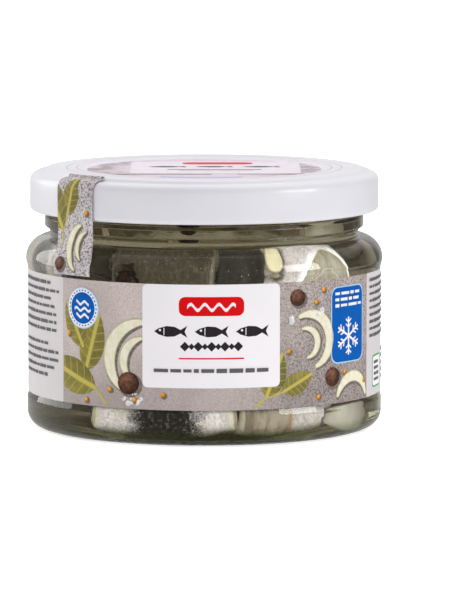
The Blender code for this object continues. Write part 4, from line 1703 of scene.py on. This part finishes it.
def onLid(across, behind, lift):
    lid = twistLid
    out = math.hypot(across, behind)
    share = min(1.0, max(0.0, (out - lid["ringInner"]) / lid["ringSlope"] + 1.0))
    return Vector((across, behind, lid["panel"] + (lid["top"] - lid["panel"]) * share + lift)) * mm


def discMaterial(colour, dark):
    # Faded stone that gets darker towards both sides of the disc.
    material, tree, shader = newMaterial("lidInkDisc", roughness=0.5, specular=0.15)
    spot = inMillimetres(tree)
    away = vectorMaths("LENGTH", stretch(spot, (1.0, 1.0, 0.0)))["Value"]
    sides = ramp(maths("ABSOLUTE", split(spot)["X"]), *lidPrint["sideLevels"])
    share = times(times(sides, clouds(spot, *lidPrint["darkClouds"])), ramp(away, *lidPrint["rimLevels"]))
    stone = blend(times(share, lidPrint["darkShare"]), colour, dark)
    setLook(shader, colour=tinted(stone, clouds(spot, *lidPrint["fine"])))
    return material


def makeLidPrint():
    plan, tints = lidPrint, lidPrint["tints"]
    printSpans[onLid] = (-40.0, 40.0, 5.0)
    ink = newInk(tints)
    printShape(ink["Disc"], oval(plan["disc"], plan["disc"], 90), 1, onLid)
    printShape(ink["Panel"], box(*plan["panel"], 1.5), 3, onLid)
    printShape(ink["Red"], box(*plan["bar"], 2.5), 4, onLid)
    fish = plan["fish"]
    for centre in fish["centres"]:
        outline = moved(fishOutline(fish["length"], fish["wide"]), (centre, fish["up"]))
        printShape(ink["Dark"], outline, 4, onLid)
    for name, frame, rounding, layer in plan["boxes"]:
        printShape(ink[name], box(*frame, rounding), layer, onLid)
    printShape(ink["Blue"], arcBand(*plan["blueArc"]), 2, onLid)
    for radius in plan["lines"]:
        printShape(ink["Line"], arcBand(radius, 0.4, -179.9, 179.9, 120), 1, onLid)
    materials = {name: inkMaterial(f"lidInk{name}", tint) for name, tint in tints.items() if name != "Disc"}
    materials["Disc"] = discMaterial(tints["Disc"], tints["Wedge"])
    finishInk(ink, "lidPrint", materials, "lid_paint")


makeLidPrint()
print("lid's print is made")


# Crumbs of onion that float in front of the upper rolls

crumbs = {
    "pale": (0.85, 0.83, 0.76),
    "deep": (0.55, 0.52, 0.45),
    "span": (-60.0, 62.0),
    "heights": (40.2, 46.5),
    "columns": 60,
    "rows": 8,
    "inset": 0.22,
    "density": 100000.0,
    "smallest": 0.03,
    "largest": 0.09,
    "flatness": 0.5,
    "seed": 5,
}


def makeCrumbs():
    # A band close to the glass carries them.
    points, faces = [], []
    start, end = crumbs["span"]
    low, high = crumbs["heights"]
    columns, rows = crumbs["columns"], crumbs["rows"]
    for row in range(rows + 1):
        height = low + (high - low) * row / rows
        for column in range(columns + 1):
            angle = start + (end - start) * column / columns
            points.append(aroundJar(angle, cavityRadius(height) - crumbs["inset"], height))
    for row in range(rows):
        for near in range(row * (columns + 1), row * (columns + 1) + columns):
            faces.append((near, near + 1, near + columns + 2, near + columns + 1))
    material = plainTwoTone("onionCrumbs", 2.0, crumbs["pale"], crumbs["deep"], roughness=0.4)
    piece = grownPiece(
        "onionCrumbs", plainMesh("crumbBand", points, faces), scatterTree(material),
        Density=crumbs["density"], Smallest=crumbs["smallest"] * mm, Largest=crumbs["largest"] * mm,
        Flatness=crumbs["flatness"], Seed=crumbs["seed"])
    settle(piece, "onion")


makeCrumbs()
print("crumbs are made")


# Seal strip: it lies on the shoulder, spans the neck and folds over the lid

sealStrip = {
    "angle": -46.4,
    "width": 12.3,
    "gap": 0.3,
    "paper": 0.2,
    "start": 39.9,
    "shoulderCentre": (38.05, 41.1),
    "shoulderRadius": 5.7,
    "neckDip": 0.15,
    "dipHeight": 48.2,
    "endRadius": 39.0,
    "columns": 16,
    "stations": 64,
    "stone": ((0.66, 0.61, 0.62), (0.05, 0.045, 0.05)),
    "stoneGrains": (0.85, 0.85),
    "sprigs": [((-4.0, 7.0), 76.0, 7.5, 2, 17.0, 9.0)],
    "rings": [((5.0, 6.4), 6.4, 2.1, 110.0, 235.0), ((5.4, 6.8), 4.1, 1.5, 105.0, 230.0)],
    "berries": [(-4.2, 2.6, 1.7)],
    "seeds": [(4.4, 15.2)],
}


def arcPath(centre, radius, end, steps):
    return [Vector(centre) + onCircle(end * step / steps, radius) for step in range(steps + 1)]


def stripPath():
    # The middle of the strip's inner face as (radius, height).
    strip, lid, gap = sealStrip, twistLid, sealStrip["gap"]
    corner = lid["skirtCorner"]
    path = [Vector((jarGlass["bodyRadius"] + gap, strip["start"]))]
    path += arcPath(strip["shoulderCentre"], strip["shoulderRadius"] + gap, 24, 6)
    path.append(Vector((lid["radius"] - strip["neckDip"] + gap, strip["dipHeight"])))
    path.append(Vector((lid["radius"] + gap, lid["bottom"] + 1.0)))
    path += arcPath((lid["radius"] - corner, lid["shelf"] - corner), corner + gap, 90, 10)
    path.append(Vector((lid["ringOuter"] + lid["ringSlope"], lid["shelf"] + gap)))
    path.append(Vector((strip["endRadius"], lid["top"] + gap)))
    return spacedOut(path, 0.8)


stripLine = stripPath()


def stripPoint(across, distance, lift):
    # A point at a distance along the strip's path, lifted off it.
    left = distance
    for near, far in zip(stripLine, stripLine[1:]):
        length = (far - near).length
        if left <= length or far is stripLine[-1]:
            break
        left -= length
    way = (far - near).normalized()
    spot = near + way * left + Vector((way.y, -way.x)) * lift
    return aroundJar(sealStrip["angle"] + math.degrees(across / spot.x), spot.x, spot.y)


def onStrip(across, distance, lift):
    return stripPoint(across, distance, sealStrip["paper"] + lift)


def makeStrip():
    strip = sealStrip
    total = sum((far - near).length for near, far in zip(stripLine, stripLine[1:]))
    points, rings = [], []
    for station in range(strip["stations"] + 1):
        distance = total * station / strip["stations"]
        rings.append(range(len(points), len(points) + 2 * strip["columns"] + 2))
        for lift, order in ((0.0, 1), (strip["paper"], -1)):
            for column in range(strip["columns"] + 1):
                across = order * strip["width"] * (column / strip["columns"] - 0.5)
                points.append(stripPoint(across, distance, lift))
    faces = ringFaces(rings) + [tuple(rings[0]), tuple(rings[-1])]
    stone = stoneMaterial("stripStone", *strip["stone"], strip["stoneGrains"])
    settle(meshFrom("sealStrip", points, faces, stone), "strip_print", "seal_strip")


def makeStripPrint():
    printSpans[onStrip] = (-6.1, 6.1, 0.5)
    ink = newInk(("Shadows", "Leaves", "Stalks", "Onion", "OnionEdge", "Berries", "Seeds"))
    makeFoodPrint(ink, sealStrip, onStrip, 8)
    finishInk(ink, "strip", printInks, "strip_print")


makeStrip()
makeStripPrint()
print("seal strip is made")


def corners(box):
    return [list(corner) for corner in box]


{"cad": corners(cadBox), "visual": corners(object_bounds())}
